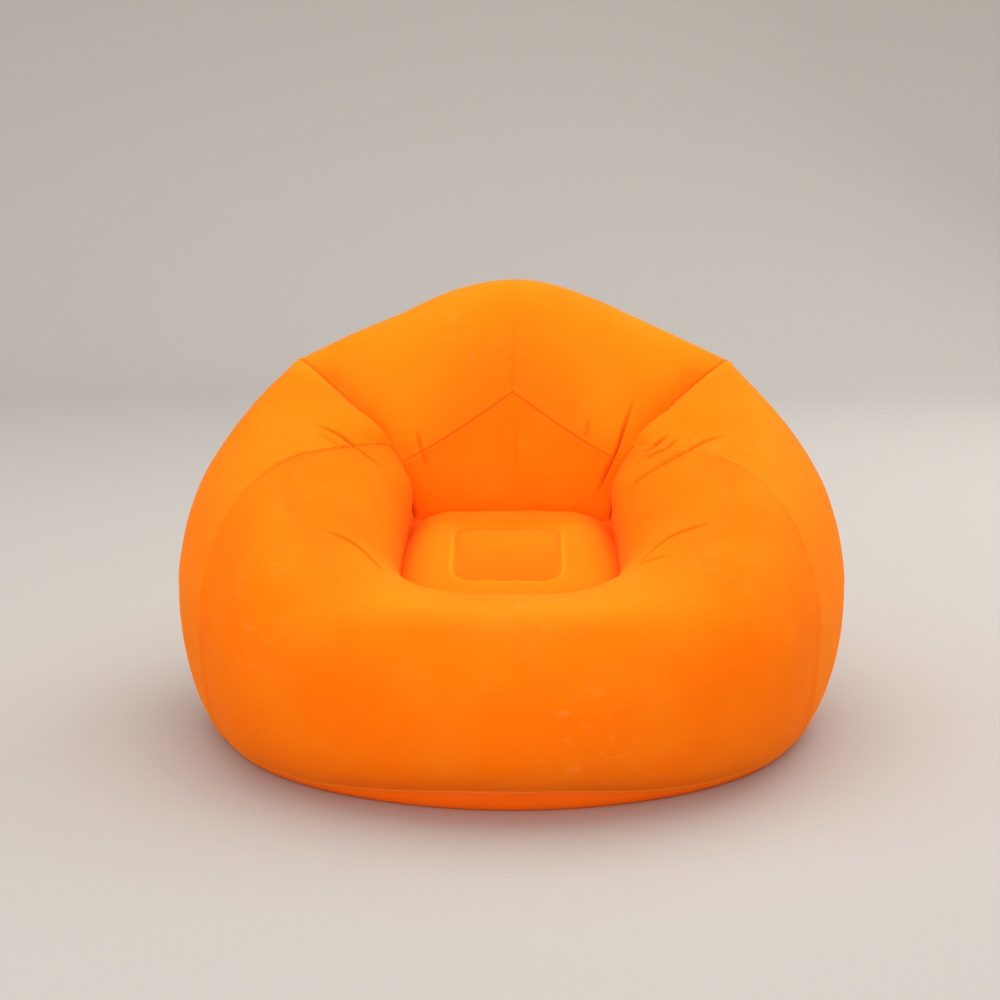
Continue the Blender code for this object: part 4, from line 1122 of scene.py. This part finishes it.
            # A seam's painted shade line darkens its groove, and its painted highlight line lightens the pile beside
            # it.
            if seam.deeper:
                line = seam.deeper * np.exp(-(distance / self.weld_width) ** 2)
                core[near] = np.maximum(core[near], line * np.minimum(depth / seam.depth, 1))
            if seam.paler:
                tone_with_painted_light[near] = np.maximum(tone_with_painted_light[near], seam.paler * np.exp(-(distance / self.draw_width) ** 2))
            ridged[near] += depth * self.bank_share * np.exp(-((distance - self.bank_offset)
                                                                    / self.draw_width) ** 2)
            phase = 2 * math.pi * arc / seam.pucker_length
            uneven = 0.6 + 0.4 * np.sin(phase * 0.31 + 2 * number)
            beat = np.sin(phase + 1.7 * np.sin(phase * 0.23 + number)) * uneven
            away = (distance / self.pucker_offset) * np.exp(1 - distance / self.pucker_offset)
            puckered[near] += seam.pucker * beat * away
            nearest_seam[near] = np.minimum(nearest_seam[near], distance)
        seam_out = unit(directions)
        facing = unit(normals * (1 - weights)[:, None] + seam_out * weights[:, None])
        height = puckered + ridged - drawn
        height += 0.0008 * waves(points, 0.18, 3) + 0.0003 * waves(points, 0.06, 5)
        height += self.pocket_swell(points)
        for fold in folds:
            rise, painted_shade = self.fold_effect(fold, points, facing)
            height += rise
            core = np.maximum(core, painted_shade)
        moved = points + facing * height[:, None]
        weld = np.exp(-(nearest_seam / self.weld_width) ** 2)
        weld = np.maximum(weld, self.valve_seat.press(moved))
        start = 0
        for panel in self.panels:
            rows, columns = panel.points.shape[:2]
            stop = start + rows * columns
            settled = moved[start:stop].reshape(rows, columns, 3)
            if panel.flat_under:
                outer = np.clip(panel.points[:, :, 2] / panel.points[:1, :, 2], 0, 1)[:, :, None]
                settled = panel.points + (settled - panel.points) * outer
                settled[:, :, 2] = np.maximum(settled[:, :, 2], 0.0)
            panel.points = settled
            self.facings.append(facing[start:stop].reshape(rows, columns, 3))
            self.welds.append(weld[start:stop])
            if panel.painted_shade is not None:
                core[start:stop] = np.maximum(core[start:stop], panel.painted_shade.ravel())
            self.painted_shade_masks.append(core[start:stop])
            # Add the panel's painted highlight and painted shade lean.
            if panel.raised is not None:
                tone_with_painted_light[start:stop] += panel.raised.ravel()
            self.tone_with_painted_light.append(tone_with_painted_light[start:stop])
            start = stop

    def pocket_swell(self, points: Array) -> Array:
        """Return how far the front wrap and the arms puff out inside the pocket, between its seams.

        Args:
            points: All the panels' points, in order.

        Returns:
            The heights.
        """
        result = np.zeros(len(points))
        rear = {seam.name: seam.line for seam in self.seams}
        start = 0
        for panel in self.panels:
            stop = start + panel.points.shape[0] * panel.points.shape[1]
            if panel.node in ("front_panel", "left_arm_panel", "right_arm_panel"):
                low = 1 - smooth_step((points[start:stop, 2] - self.swell_fade) / self.swell_fade_length)
                inner = np.nonzero((low > 0) & (points[start:stop, 2] > self.sizes.seat_front[2]))[0]
                own = points[start:stop][inner]
                off_seat = smooth_step(nearest_on_line(own, rear["seat"])[0] / self.swell_seat_reach)
                for name in ("left_pocket", "right_pocket"):
                    distance = nearest_on_line(own, rear[name])[0] / self.swell_reach
                    height = self.swell * distance * np.exp(1 - distance) * low[inner] * off_seat
                    result[start + inner] = np.maximum(result[start + inner], height)
            start = stop
        return result

    @staticmethod
    def fold_effect(fold: Fold, points: Array, facing: Array) -> tuple[Array, Array]:
        """Return how far a fold moves each point outward, and how much painted shade each gets in its bottom.

        Args:
            fold: The fold.
            points: The skin's points.
            facing: The outward direction at each.

        Returns:
            The heights, and the shares of painted shade in the bottom.
        """
        knots = np.array(fold.points)
        stations = np.arange(len(knots), dtype=float)
        wanted = np.linspace(0, len(knots) - 1, 40)
        line = natural_loft([knot[None] for knot in knots], stations, wanted)[0]
        for number, place in enumerate(line):
            nearest = int(((points - place) ** 2).sum(axis=1).argmin())
            line[number] = place + facing[nearest] * ((points[nearest] - place) @ facing[nearest])
        reach = 7 * fold.width
        near = np.nonzero(near_mask(points, line, reach))[0]
        distance, place, along = nearest_on_line(points[near], line)
        share = along / (len(line) - 1)
        beyond_end = ((along <= 0) | (along >= len(line) - 1)) & (distance > 1e-9)
        fade = smooth_step(share / fold.fade_in) * smooth_step((1 - share) / fold.fade_out)
        fade[beyond_end] *= 0.0
        index = np.clip(along.astype(int), 0, len(line) - 2)
        tangent = unit(line[index + 1] - line[index])
        side = np.sign((np.cross(facing[near], tangent) * (points[near] - place)).sum(axis=1))
        scaled = distance / fold.width
        valley = -np.exp(-scaled)
        bank = fold.puff * (1 + fold.lean * side) * np.exp(-((scaled - 2.6) / 1.7) ** 2)
        bank *= np.clip(scaled / 1.5, 0, 1)
        height = np.zeros(len(points))
        bottom = np.zeros(len(points))
        height[near] = fold.depth * fade * (valley + bank)
        # The valley bottom gets painted shade.
        bottom[near] = fade * min(fold.depth / Fold.full_depth, 1.0) * np.exp(-(scaled / 1.05) ** 2)
        return height, bottom

    def make(self, materials: dict[Slot, bpy.types.Material]) -> None:
        """Make each panel's mesh, with its weld lip, and set it in the frame.

        Args:
            materials: The materials by slot.
        """
        for panel, facing, weld, crease, raised in zip(self.panels, self.facings, self.welds, self.painted_shade_masks,
                                                       self.tone_with_painted_light):
            rows, columns = panel.points.shape[:2]
            points = panel.points.reshape(-1, 3)
            border = panel.border()
            lips = np.array([panel.points[place] - facing[place] * self.lip for place in border])
            if panel.flat_under:
                lips = np.array([panel.points[place] * (0.988, 0.988, 1.0) for place in border])
            number = np.arange(rows * columns).reshape(rows, columns)
            wide = np.concatenate((number, number[:, :1]), axis=1) if panel.closed else number
            quads = np.stack((wide[:-1, :-1], wide[:-1, 1:], wide[1:, 1:], wide[1:, :-1]), axis=-1).reshape(-1, 4)
            faces = quads.tolist()
            if panel.closed:
                faces.append(number[-1].tolist())
            first = rows * columns
            edge = [int(number[place]) for place in border]
            for place in range(len(edge)):
                after = (place + 1) % len(edge)
                faces.append((edge[after], edge[place], first + place, first + after))
            mesh = bpy.data.meshes.new(panel.name)
            mesh.from_pydata(np.concatenate((points, lips)).tolist(), [], faces)
            # The attributes: the weld, the share of painted shade, and the lean with its painted highlight and
            # painted shade.
            lean = np.clip(panel.pile_lean_and_painted_light + raised, 0, 1)
            for name, values in (("weld", weld), ("crease", crease), ("pile_lean_and_painted_light", lean)):
                attribute = mesh.attributes.new(name, "FLOAT", "POINT")
                attribute.data.foreach_set("value", np.concatenate((values, np.ones(len(lips)))).astype(np.float32))
            mesh.validate()
            mesh.shade_smooth()
            piece = bpy.data.objects.new(panel.name, mesh)
            bpy.context.scene.collection.objects.link(piece)
            self.close_points(piece)
            if panel.node == "left_back_panel":
                self.open_hole(piece)
            mesh.materials.append(materials[panel.slot])
            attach(piece, Body.CHAIR.value)
            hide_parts(panel.node)
            log.info("%s: %d faces", piece.name, len(mesh.polygons))

    def open_hole(self, piece: bpy.types.Object) -> None:
        """Cut the round hole that the valve's neck passes through.

        Args:
            piece: The panel.
        """
        points = np.array([tuple(vertex.co) for vertex in piece.data.vertices])
        local = self.valve_seat.local(points)
        radius = np.hypot(local[:, 0], local[:, 1])
        inside = (radius < self.valve_seat.hole_radius) & (np.abs(local[:, 2]) < self.valve_seat.depth_reach)
        border = set()
        for face in piece.data.polygons:
            corners = list(face.vertices)
            if inside[corners].any():
                border.update(corner for corner in corners if not inside[corner])
        for vertex, place in zip(piece.data.vertices, inside):
            vertex.select = bool(place)
        for number in border:
            flat = (local[number, 0] * np.array(self.valve_seat.across)
                    + local[number, 1] * np.array(self.valve_seat.upward))
            inward = 1 - self.valve_seat.hole_radius / radius[number]
            piece.data.vertices[number].co = points[number] - flat * inward
        bpy.ops.object.mode_set(mode="EDIT")
        bpy.ops.mesh.delete(type="VERT")
        bpy.ops.object.mode_set(mode="OBJECT")

    @staticmethod
    def close_points(piece: bpy.types.Object) -> None:
        """Merge the points that meet where a gore narrows to its tip."""
        select_alone(piece)
        open_all()
        bpy.ops.mesh.remove_doubles(threshold=0.00002)
        bpy.ops.mesh.select_all(action="DESELECT")
        bpy.ops.object.mode_set(mode="OBJECT")


FOLDS = (
    Fold("right_arm_crook", ((-0.345, 0.090, 0.475), (-0.297, 0.083, 0.461), (-0.256, 0.075, 0.436),
                             (-0.223, 0.055, 0.411), (-0.205, 0.042, 0.392)), 0.0046, 0.0026, 0.3, 0.0, 0.4, 0.4),
    Fold("right_arm_crook_upper", ((-0.325, 0.070, 0.462), (-0.286, 0.060, 0.444), (-0.262, 0.060, 0.434)),
         0.0022, 0.0026),
    Fold("right_forearm", ((-0.300, -0.198, 0.361), (-0.257, -0.197, 0.349), (-0.221, -0.210, 0.331),
                           (-0.184, -0.250, 0.310)), 0.0064, 0.0026, 0.35, 0.0, 0.5, 0.12),
    Fold("right_back_upright", ((-0.161, 0.156, 0.460), (-0.150, 0.151, 0.417), (-0.135, 0.148, 0.371)), 0.0028,
         0.0032),
    Fold("right_pocket_corner", ((-0.176, 0.127, 0.372), (-0.171, 0.128, 0.344), (-0.165, 0.130, 0.322),
                                 (-0.158, 0.128, 0.306)), 0.0060, 0.0032, 0.1, 0.0, 0.5, 0.05),
    Fold("left_back_pleat", ((0.216, 0.190, 0.525), (0.187, 0.152, 0.459), (0.170, 0.137, 0.414),
                             (0.153, 0.140, 0.372), (0.138, 0.139, 0.325)), 0.0085, 0.0027, 0.2, 0.5, 0.35, 0.3),
    Fold("left_pocket_corner", ((0.172, 0.127, 0.372), (0.168, 0.129, 0.344), (0.165, 0.130, 0.322),
                                (0.160, 0.127, 0.304)), 0.0060, 0.0032, 0.1, 0.0, 0.5, 0.05),
    Fold("left_arm_crook", ((0.365, 0.052, 0.461), (0.325, 0.054, 0.454), (0.276, 0.042, 0.432),
                            (0.235, 0.023, 0.406), (0.209, 0.014, 0.380), (0.196, 0.0, 0.357)), 0.0062, 0.0026, 0.35),
    Fold("left_arm_pleat", ((0.280, 0.085, 0.453), (0.241, 0.075, 0.428), (0.218, 0.064, 0.411)), 0.0046, 0.0026),
    Fold("left_arm_small_pleat", ((0.262, 0.096, 0.454), (0.234, 0.098, 0.434), (0.209, 0.090, 0.415)), 0.0044,
         0.0024),
    Fold("left_arm_seam_pucker", ((0.250, 0.062, 0.440), (0.226, 0.076, 0.425), (0.207, 0.078, 0.405)), 0.0038,
         0.0024),
    Fold("left_forearm", ((0.318, -0.179, 0.373), (0.274, -0.184, 0.359), (0.233, -0.191, 0.340),
                          (0.189, -0.233, 0.312)), 0.0074, 0.0026, 0.35, 0.0, 0.35, 0.12),
    Fold("left_forearm_lower", ((0.253, -0.247, 0.334), (0.214, -0.236, 0.324), (0.189, -0.239, 0.312)), 0.0034,
         0.0026),
    Fold("lumbar_upright", ((0.004, 0.199, 0.452), (0.006, 0.186, 0.410), (0.010, 0.171, 0.361)), 0.0016, 0.0032),
    Fold("left_back_small", ((0.129, 0.170, 0.467), (0.121, 0.170, 0.430)), 0.0020, 0.0028),
)


@dataclass
class Studio:
    """The plain pale room: a floor that curves up into a backdrop, soft light and the camera."""

    lens: float = 75.24
    eye: tuple[float, float, float] = (0.04, -3.26, 1.075)
    pitch_deg: float = 12.3
    yaw_deg: float = 1.01
    floor_reach: float = 6.0
    backdrop_y: float = 3.2
    backdrop_radius: float = 1.2
    backdrop_rise: float = 4.0
    floor_drop: float = 0.0004
    air_colour: str = "#F4F1EE"
    air_strength: float = 1.06

    def floor(self) -> None:
        """Sweep the floor up into the backdrop."""
        bpy.ops.object.select_all(action="DESELECT")
        bpy.ops.mesh.primitive_plane_add(size=1.0, location=(0.0, 0.0, 0.0))
        stage = bpy.context.active_object
        stage.name = "studio_floor"
        stage.data.name = "studio_floor"
        open_all()
        bpy.ops.transform.resize(value=(2 * self.floor_reach, self.floor_reach + self.backdrop_y, 1.0))
        bpy.ops.transform.translate(value=(0.0, (self.backdrop_y - self.floor_reach) / 2, -self.floor_drop))
        bpy.ops.mesh.select_all(action="DESELECT")
        bpy.ops.mesh.select_mode(type="EDGE")
        bpy.ops.object.mode_set(mode="OBJECT")
        mesh = stage.data
        for edge in mesh.edges:
            edge.select = all(mesh.vertices[corner].co.y > self.backdrop_y - 0.01 for corner in edge.vertices)
        bpy.ops.object.mode_set(mode="EDIT")
        bpy.ops.mesh.spin(steps=16, angle=math.pi / 2, axis=(-1.0, 0.0, 0.0),
                          center=(0.0, self.backdrop_y, self.backdrop_radius))
        bpy.ops.mesh.extrude_region_move(TRANSFORM_OT_translate={"value": (0.0, 0.0, self.backdrop_rise)})
        bpy.ops.mesh.select_all(action="SELECT")
        bpy.ops.mesh.normals_make_consistent(inside=False)
        bpy.ops.object.mode_set(mode="OBJECT")
        bpy.ops.object.shade_smooth()
        mesh.materials.append(PaleFloor().make())

    def lamps(self) -> None:
        """Hang the soft lamps and set the even light of the room."""
        bpy.context.scene.world = bpy.data.worlds.new("studio_air")
        world = bpy.context.scene.world
        world.use_nodes = True
        tree = world.node_tree
        tree.nodes.clear()
        air = add_node(tree, "ShaderNodeBackground", {"Color": linear(self.air_colour),
                                                     "Strength": self.air_strength})
        add_node(tree, "ShaderNodeOutputWorld", {"Surface": air.outputs[0]})
        self.lamp("overhead_softbox", (0.0, 0.2, 3.2), (0.0, 0.0, 0.3), 3.4, 56.0)
        self.lamp("front_softbox", (-0.7, -3.8, 0.85), (0.0, 0.0, 0.2), 1.6, 29.0)
        self.lamp("rear_window", (2.2, 2.4, 2.2), (0.0, 0.1, 0.4), 2.2, 42.0)

    @staticmethod
    def lamp(name: str, place: Sequence[float], target: Sequence[float], size: float, power: float) -> None:
        """Add a square soft lamp that faces a target."""
        light = bpy.data.lights.new(name, "AREA")
        light.shape = "SQUARE"
        light.size = size
        light.energy = power
        lamp = bpy.data.objects.new(name, light)
        lamp.location = place
        lamp.rotation_euler = (Vector(target) - Vector(place)).to_track_quat("-Z", "Y").to_euler()
        bpy.context.scene.collection.objects.link(lamp)

    def camera(self) -> None:
        """Set the camera at the photograph's viewing angle."""
        data = bpy.data.cameras.new("camera")
        data.lens = self.lens
        data.sensor_width = 36.0
        camera = bpy.data.objects.new("camera", data)
        camera.location = self.eye
        camera.rotation_euler = (math.radians(90 - self.pitch_deg), 0.0, math.radians(self.yaw_deg))
        bpy.context.scene.collection.objects.link(camera)
        bpy.context.scene.camera = camera

    def make(self) -> None:
        """Build the whole studio."""
        self.camera()
        self.floor()
        self.lamps()
        log.info("studio: camera, floor and lamps")


@dataclass
class AirValve:
    """The two-way air valve: a neck welded behind the sheet, a plug with a grip rim, and a hinged cap.

    It is modelled upright at the origin, with its outward direction up, and then set in its place. All
    heights are above the sheet.
    """

    seat: ValveSeat = field(default_factory=ValveSeat)
    steps: int = 80
    neck_radius: float = 0.0170
    bore_radius: float = 0.0148
    neck_top: float = 0.0050
    neck_end: float = -0.0200
    collar_radius: float = 0.0180
    collar_height: float = 0.0008
    flange_face: float = -0.0016
    flange_back: float = -0.0031
    head_radius: float = 0.0210
    head_under: float = 0.0053
    head_top: float = 0.0083
    rim_radius: float = 0.0168
    rim_height: float = 0.0009
    plug_radius: float = 0.0144
    plug_bead: float = 0.0002
    plug_end: float = -0.0180
    plug_bore: float = 0.0090
    grip_depth: float = 0.0006
    grip_border: float = 0.0002
    spoke: float = 0.0020
    cap_radius: float = 0.0125
    cap_under: float = 0.0086
    cap_top: float = 0.0108
    stopper_end: float = 0.0016
    tab_half_width: float = 0.0036
    tab_length: float = 0.0034
    strap_half_width: float = 0.0040
    hinge_offset: float = 0.0190
    hinge_height: float = 0.0092
    hinge_radius: float = 0.0006
    lug_gap: float = 0.0004
    lug: tuple[float, float, float] = (0.0016, 0.0026, 0.0020)
    edge: float = 0.0004
    smooth_deg: float = 32.0

    def turned(self, name: str, outline: Sequence[tuple[float, float]], ring: bool) -> bpy.types.Object:
        """Turn an outline of radii and heights, by extruding and scaling a circle.

        Args:
            name: The piece's name.
            outline: The radius and height at each step.
            ring: Whether the outline closes on itself; if not, its two ends are filled.

        Returns:
            The piece, in object mode.
        """
        steps = list(outline) + ([outline[0]] if ring else [])
        radius, height = steps[0]
        bpy.ops.object.select_all(action="DESELECT")
        bpy.ops.mesh.primitive_circle_add(vertices=self.steps, radius=radius, location=(0.0, 0.0, height))
        piece = bpy.context.active_object
        piece.name = piece.data.name = name
        bpy.ops.object.transform_apply(location=True, rotation=True, scale=True)
        bpy.ops.object.mode_set(mode="EDIT")
        bpy.ops.mesh.select_mode(type="VERT")
        bpy.ops.mesh.select_all(action="SELECT")
        for next_radius, next_height in steps[1:]:
            bpy.ops.mesh.extrude_region_move(TRANSFORM_OT_translate={"value": (0.0, 0.0, next_height - height)})
            scale = next_radius / radius
            bpy.ops.transform.resize(value=(scale, scale, 1.0), center_override=(0.0, 0.0, next_height))
            radius, height = next_radius, next_height
        bpy.ops.mesh.select_all(action="SELECT")
        if ring:
            bpy.ops.mesh.remove_doubles(threshold=self.edge / 20)
        else:
            bpy.ops.mesh.fill_holes(sides=0)
        bpy.ops.mesh.normals_make_consistent(inside=False)
        bpy.ops.object.mode_set(mode="OBJECT")
        return piece

    @staticmethod
    def pick(piece: bpy.types.Object, wanted: Callable[[Vector, Vector], bool]) -> None:
        """Select a piece's faces by their middle and normal, and stay in edit mode.

        Args:
            piece: The active piece.
            wanted: Says whether a face with this middle and normal is taken.
        """
        bpy.ops.object.mode_set(mode="EDIT")
        bpy.ops.mesh.select_mode(type="FACE")
        bpy.ops.mesh.select_all(action="DESELECT")
        bpy.ops.object.mode_set(mode="OBJECT")
        for face in piece.data.polygons:
            face.select = wanted(face.center, face.normal)
        bpy.ops.object.mode_set(mode="EDIT")

    def block(self, middle: tuple[float, float, float], size: tuple[float, float, float]) -> bpy.types.Object:
        """Return a small block with bevelled edges.

        Args:
            middle: Its middle.
            size: Its lengths.

        Returns:
            The block.
        """
        bpy.ops.object.select_all(action="DESELECT")
        bpy.ops.mesh.primitive_cube_add(size=1.0, location=middle)
        block = bpy.context.active_object
        open_all()
        bpy.ops.transform.resize(value=size)
        bpy.ops.mesh.bevel(offset=self.edge, segments=2, affect="EDGES")
        bpy.ops.object.mode_set(mode="OBJECT")
        bpy.ops.object.transform_apply(location=True, rotation=True, scale=True)
        return block

    @staticmethod
    def joined(piece: bpy.types.Object, parts: Sequence[bpy.types.Object]) -> None:
        """Join parts into a piece."""
        bpy.ops.object.select_all(action="DESELECT")
        for part in parts:
            part.select_set(True)
        piece.select_set(True)
        bpy.context.view_layer.objects.active = piece
        bpy.ops.object.join()

    def neck(self) -> bpy.types.Object:
        """Model the base: the flange behind the sheet, the neck through it and the collar on it."""
        edge = self.edge
        return self.turned("valve_neck", (
            (self.bore_radius, self.neck_top - edge), (self.bore_radius + edge, self.neck_top),
            (self.neck_radius - edge, self.neck_top), (self.neck_radius, self.neck_top - edge),
            (self.neck_radius, self.collar_height + edge), (self.neck_radius + edge / 2, self.collar_height),
            (self.collar_radius - edge / 2, self.collar_height), (self.collar_radius, self.collar_height - edge / 2),
            (self.collar_radius, -edge), (self.neck_radius, -edge), (self.neck_radius, self.flange_face),
            (self.seat.flange_radius, self.flange_face), (self.seat.flange_radius, self.flange_back),
            (self.neck_radius, self.flange_back), (self.neck_radius, self.neck_end),
            (self.bore_radius, self.neck_end)), True)

    def plug(self) -> bpy.types.Object:
        """Model the plug: its head with grip grooves and a raised rim, its body, lugs and inner cross."""
        edge, top = self.edge, self.head_top
        piece = self.turned("valve_plug_body", (
            (self.plug_bore, top - edge), (self.plug_bore + edge, top), (self.cap_radius + 2 * edge, top),
            (self.rim_radius, top), (self.head_radius - edge, top), (self.head_radius, top - edge),
            (self.head_radius, self.head_under + edge), (self.head_radius - edge, self.head_under),
            (self.plug_radius, self.head_under), (self.plug_radius, 3 * edge),
            (self.plug_radius + self.plug_bead, 2 * edge), (self.plug_radius, edge),
            (self.plug_radius, self.plug_end + edge), (self.plug_radius - edge, self.plug_end),
            (self.plug_bore, self.plug_end)), True)
        per_face = 2 * math.pi / self.steps
        clear = self.strap_half_width + self.lug_gap + self.lug[0] + 2 * edge

        def side(middle: Vector, normal: Vector) -> bool:
            """Take every second face of the head's side."""
            number = round(math.atan2(middle.y, middle.x) / per_face - 0.5)
            outside = math.hypot(middle.x, middle.y) > self.head_radius * 0.99
            return outside and abs(normal.z) < 0.1 and number % 2 == 0

        def rim(middle: Vector, normal: Vector) -> bool:
            """Take the head's outer ring, but not where the strap crosses it."""
            ring = self.rim_radius < math.hypot(middle.x, middle.y) < self.head_radius - edge
            return ring and normal.z > 0.9 and middle.z > 0 and not (abs(middle.x) < clear and middle.y < 0)

        self.pick(piece, side)
        bpy.ops.mesh.inset(thickness=self.grip_border, depth=-self.grip_depth, use_individual=True)
        self.pick(piece, rim)
        bpy.ops.mesh.inset(thickness=edge, depth=self.rim_height)
        bpy.ops.object.mode_set(mode="OBJECT")
        lug_x = self.strap_half_width + self.lug_gap + self.lug[0] / 2
        parts = [self.block((sign * lug_x, edge - self.hinge_offset, top + self.lug[2] / 2 - edge), self.lug)
                 for sign in (-1, 1)]
        length = 2 * self.plug_bore + edge
        height = self.plug_end + self.spoke
        parts.append(self.block((0.0, 0.0, height), (length, self.spoke, self.spoke)))
        parts.append(self.block((0.0, 0.0, height), (self.spoke, length, self.spoke)))
        self.joined(piece, parts)
        return piece

    def cap(self) -> bpy.types.Object:
        """Model the cap: a dished disc with a finger tab, its stopper and its hinged strap."""
        edge, under, top = self.edge, self.cap_under, self.cap_top
        piece = self.turned("valve_cap_disc", (
            (0.0030, self.stopper_end), (0.0064, self.stopper_end), (0.0070, self.stopper_end + 2 * edge),
            (0.0078, 0.0045), (0.0081, 0.0052), (0.0078, 0.0059), (0.0085, under), (self.cap_radius - edge, under),
            (self.cap_radius, under + edge), (self.cap_radius, top - edge), (self.cap_radius - edge, top),
            (self.cap_radius - 5 * edge, top), (self.cap_radius - 6 * edge, top - 1.5 * edge),
            (0.0030, top - 2 * edge)), False)

        def front(middle: Vector, normal: Vector) -> bool:
            """Take the middle of the disc's edge away from the hinge."""
            return normal.y > 0.9 and abs(middle.x) < self.tab_half_width and middle.z > under

        def back(middle: Vector, normal: Vector) -> bool:
            """Take the middle of the disc's edge toward the hinge."""
            return normal.y < -0.9 and abs(middle.x) < self.strap_half_width and middle.z > under

        self.pick(piece, front)
        bpy.ops.mesh.extrude_region_move(TRANSFORM_OT_translate={"value": (0.0, self.tab_length - edge, 0.0)})
        bpy.ops.mesh.extrude_region_move(TRANSFORM_OT_translate={"value": (0.0, edge, 0.0)})
        bpy.ops.transform.resize(value=(0.8, 1.0, 0.6))
        self.pick(piece, back)
        reach = self.hinge_offset - self.cap_radius
        bpy.ops.mesh.extrude_region_move(TRANSFORM_OT_translate={"value": (0.0, -reach * 0.25, -edge)})
        bpy.ops.transform.resize(value=(0.9, 1.0, 0.75))
        bpy.ops.mesh.extrude_region_move(TRANSFORM_OT_translate={"value": (0.0, -reach * 0.7, 0.0)})
        bpy.ops.object.mode_set(mode="OBJECT")
        bpy.ops.object.select_all(action="DESELECT")
        bpy.ops.mesh.primitive_cylinder_add(
            vertices=20, radius=self.hinge_radius + edge / 2, depth=2 * self.strap_half_width,
            location=(0.0, -self.hinge_offset, self.hinge_height), rotation=(0.0, math.pi / 2, 0.0))
        barrel = bpy.context.active_object
        open_all()
        bpy.ops.mesh.bevel(offset=edge / 2, segments=2, affect="EDGES")
        bpy.ops.object.mode_set(mode="OBJECT")
        bpy.ops.object.transform_apply(location=True, rotation=True, scale=True)
        self.joined(piece, [barrel])
        return piece

    def finish(self, piece: bpy.types.Object, node: str, body: Body,
               material: bpy.types.Material) -> None:
        """Set a piece in its place on the chair, and hide the node of the solid model that it stands for.

        Args:
            piece: The piece.
            node: The node of the solid model that it stands for.
            body: The body that it rides on.
            material: Its material.
        """
        select_alone(piece)
        bpy.ops.object.shade_smooth_by_angle(angle=math.radians(self.smooth_deg))
        placing = Matrix(self.seat.axes().tolist()).transposed().to_4x4()
        placing.translation = Vector(self.seat.centre)
        piece.matrix_world = placing
        bpy.ops.object.transform_apply(location=True, rotation=True, scale=True)
        piece.data.materials.clear()
        piece.data.materials.append(material)
        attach(piece, body.value)
        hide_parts(node)
        log.info("%s: %d faces", piece.name, len(piece.data.polygons))

    def make(self, materials: dict[Slot, bpy.types.Material]) -> None:
        """Make the valve's pieces.

        Args:
            materials: The materials by slot.
        """
        self.finish(self.neck(), "valve_base", Body.CHAIR, materials[Slot.MOULDING])
        self.finish(self.plug(), "valve_plug", Body.PLUG, materials[Slot.MOULDING])
        self.finish(self.cap(), "valve_cap", Body.CAP, materials[Slot.CAP])
        redress("valve_flap", materials[Slot.FLAP])


@dataclass
class InnerSheets:
    """The sheets inside, which hold the seat and the inner back in shape."""

    nodes: tuple[str, ...] = ("seat_tension_tube", "left_back_web", "right_back_web")

    def dress(self, material: bpy.types.Material) -> None:
        """Give the sheets their finish."""
        for name in self.nodes:
            redress(name, material)
            log.info("%s dressed", name)


def redress(node: str, material: bpy.types.Material) -> None:
    """Set the material of a node of the solid model."""
    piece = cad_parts[node]
    piece.data.materials.clear()
    piece.data.materials.append(material)


def main() -> None:
    """Build the chair and its studio."""
    logging.basicConfig(level=logging.INFO, format="%(message)s")
    materials = {
        Slot.FLOCK: FlockedPvc().make(),
        Slot.BASE: CalenderedPvc("calendered_pvc_sheet", "#FF6C03", "#FC6602", shine=0.15).make(),
        Slot.TIE: CalenderedPvc("calendered_pvc_inner_sheet", "#E9E6E0", "#D8D4CC", see_through=0.2).make(),
        Slot.MOULDING: MouldedPvc("moulded_soft_pvc_milky", "#E4E2DC", "#CFCCC4").make(),
        Slot.FLAP: MouldedPvc("moulded_pvc_flap", "#D8D6D0", "#C4C1B9").make(),
        Slot.CAP: MouldedPvc("moulded_pvc_grey", "#8E8F92", "#77797D", milky=0.05).make(),
    }
    Studio().make()
    skin = Skin()
    skin.lay_out()
    skin.sculpt(FOLDS)
    skin.make(materials)
    InnerSheets().dress(materials[Slot.TIE])
    AirValve().make(materials)
    bpy.context.scene.view_settings.view_transform = "Standard"


if __name__ == "__main__":
    main()
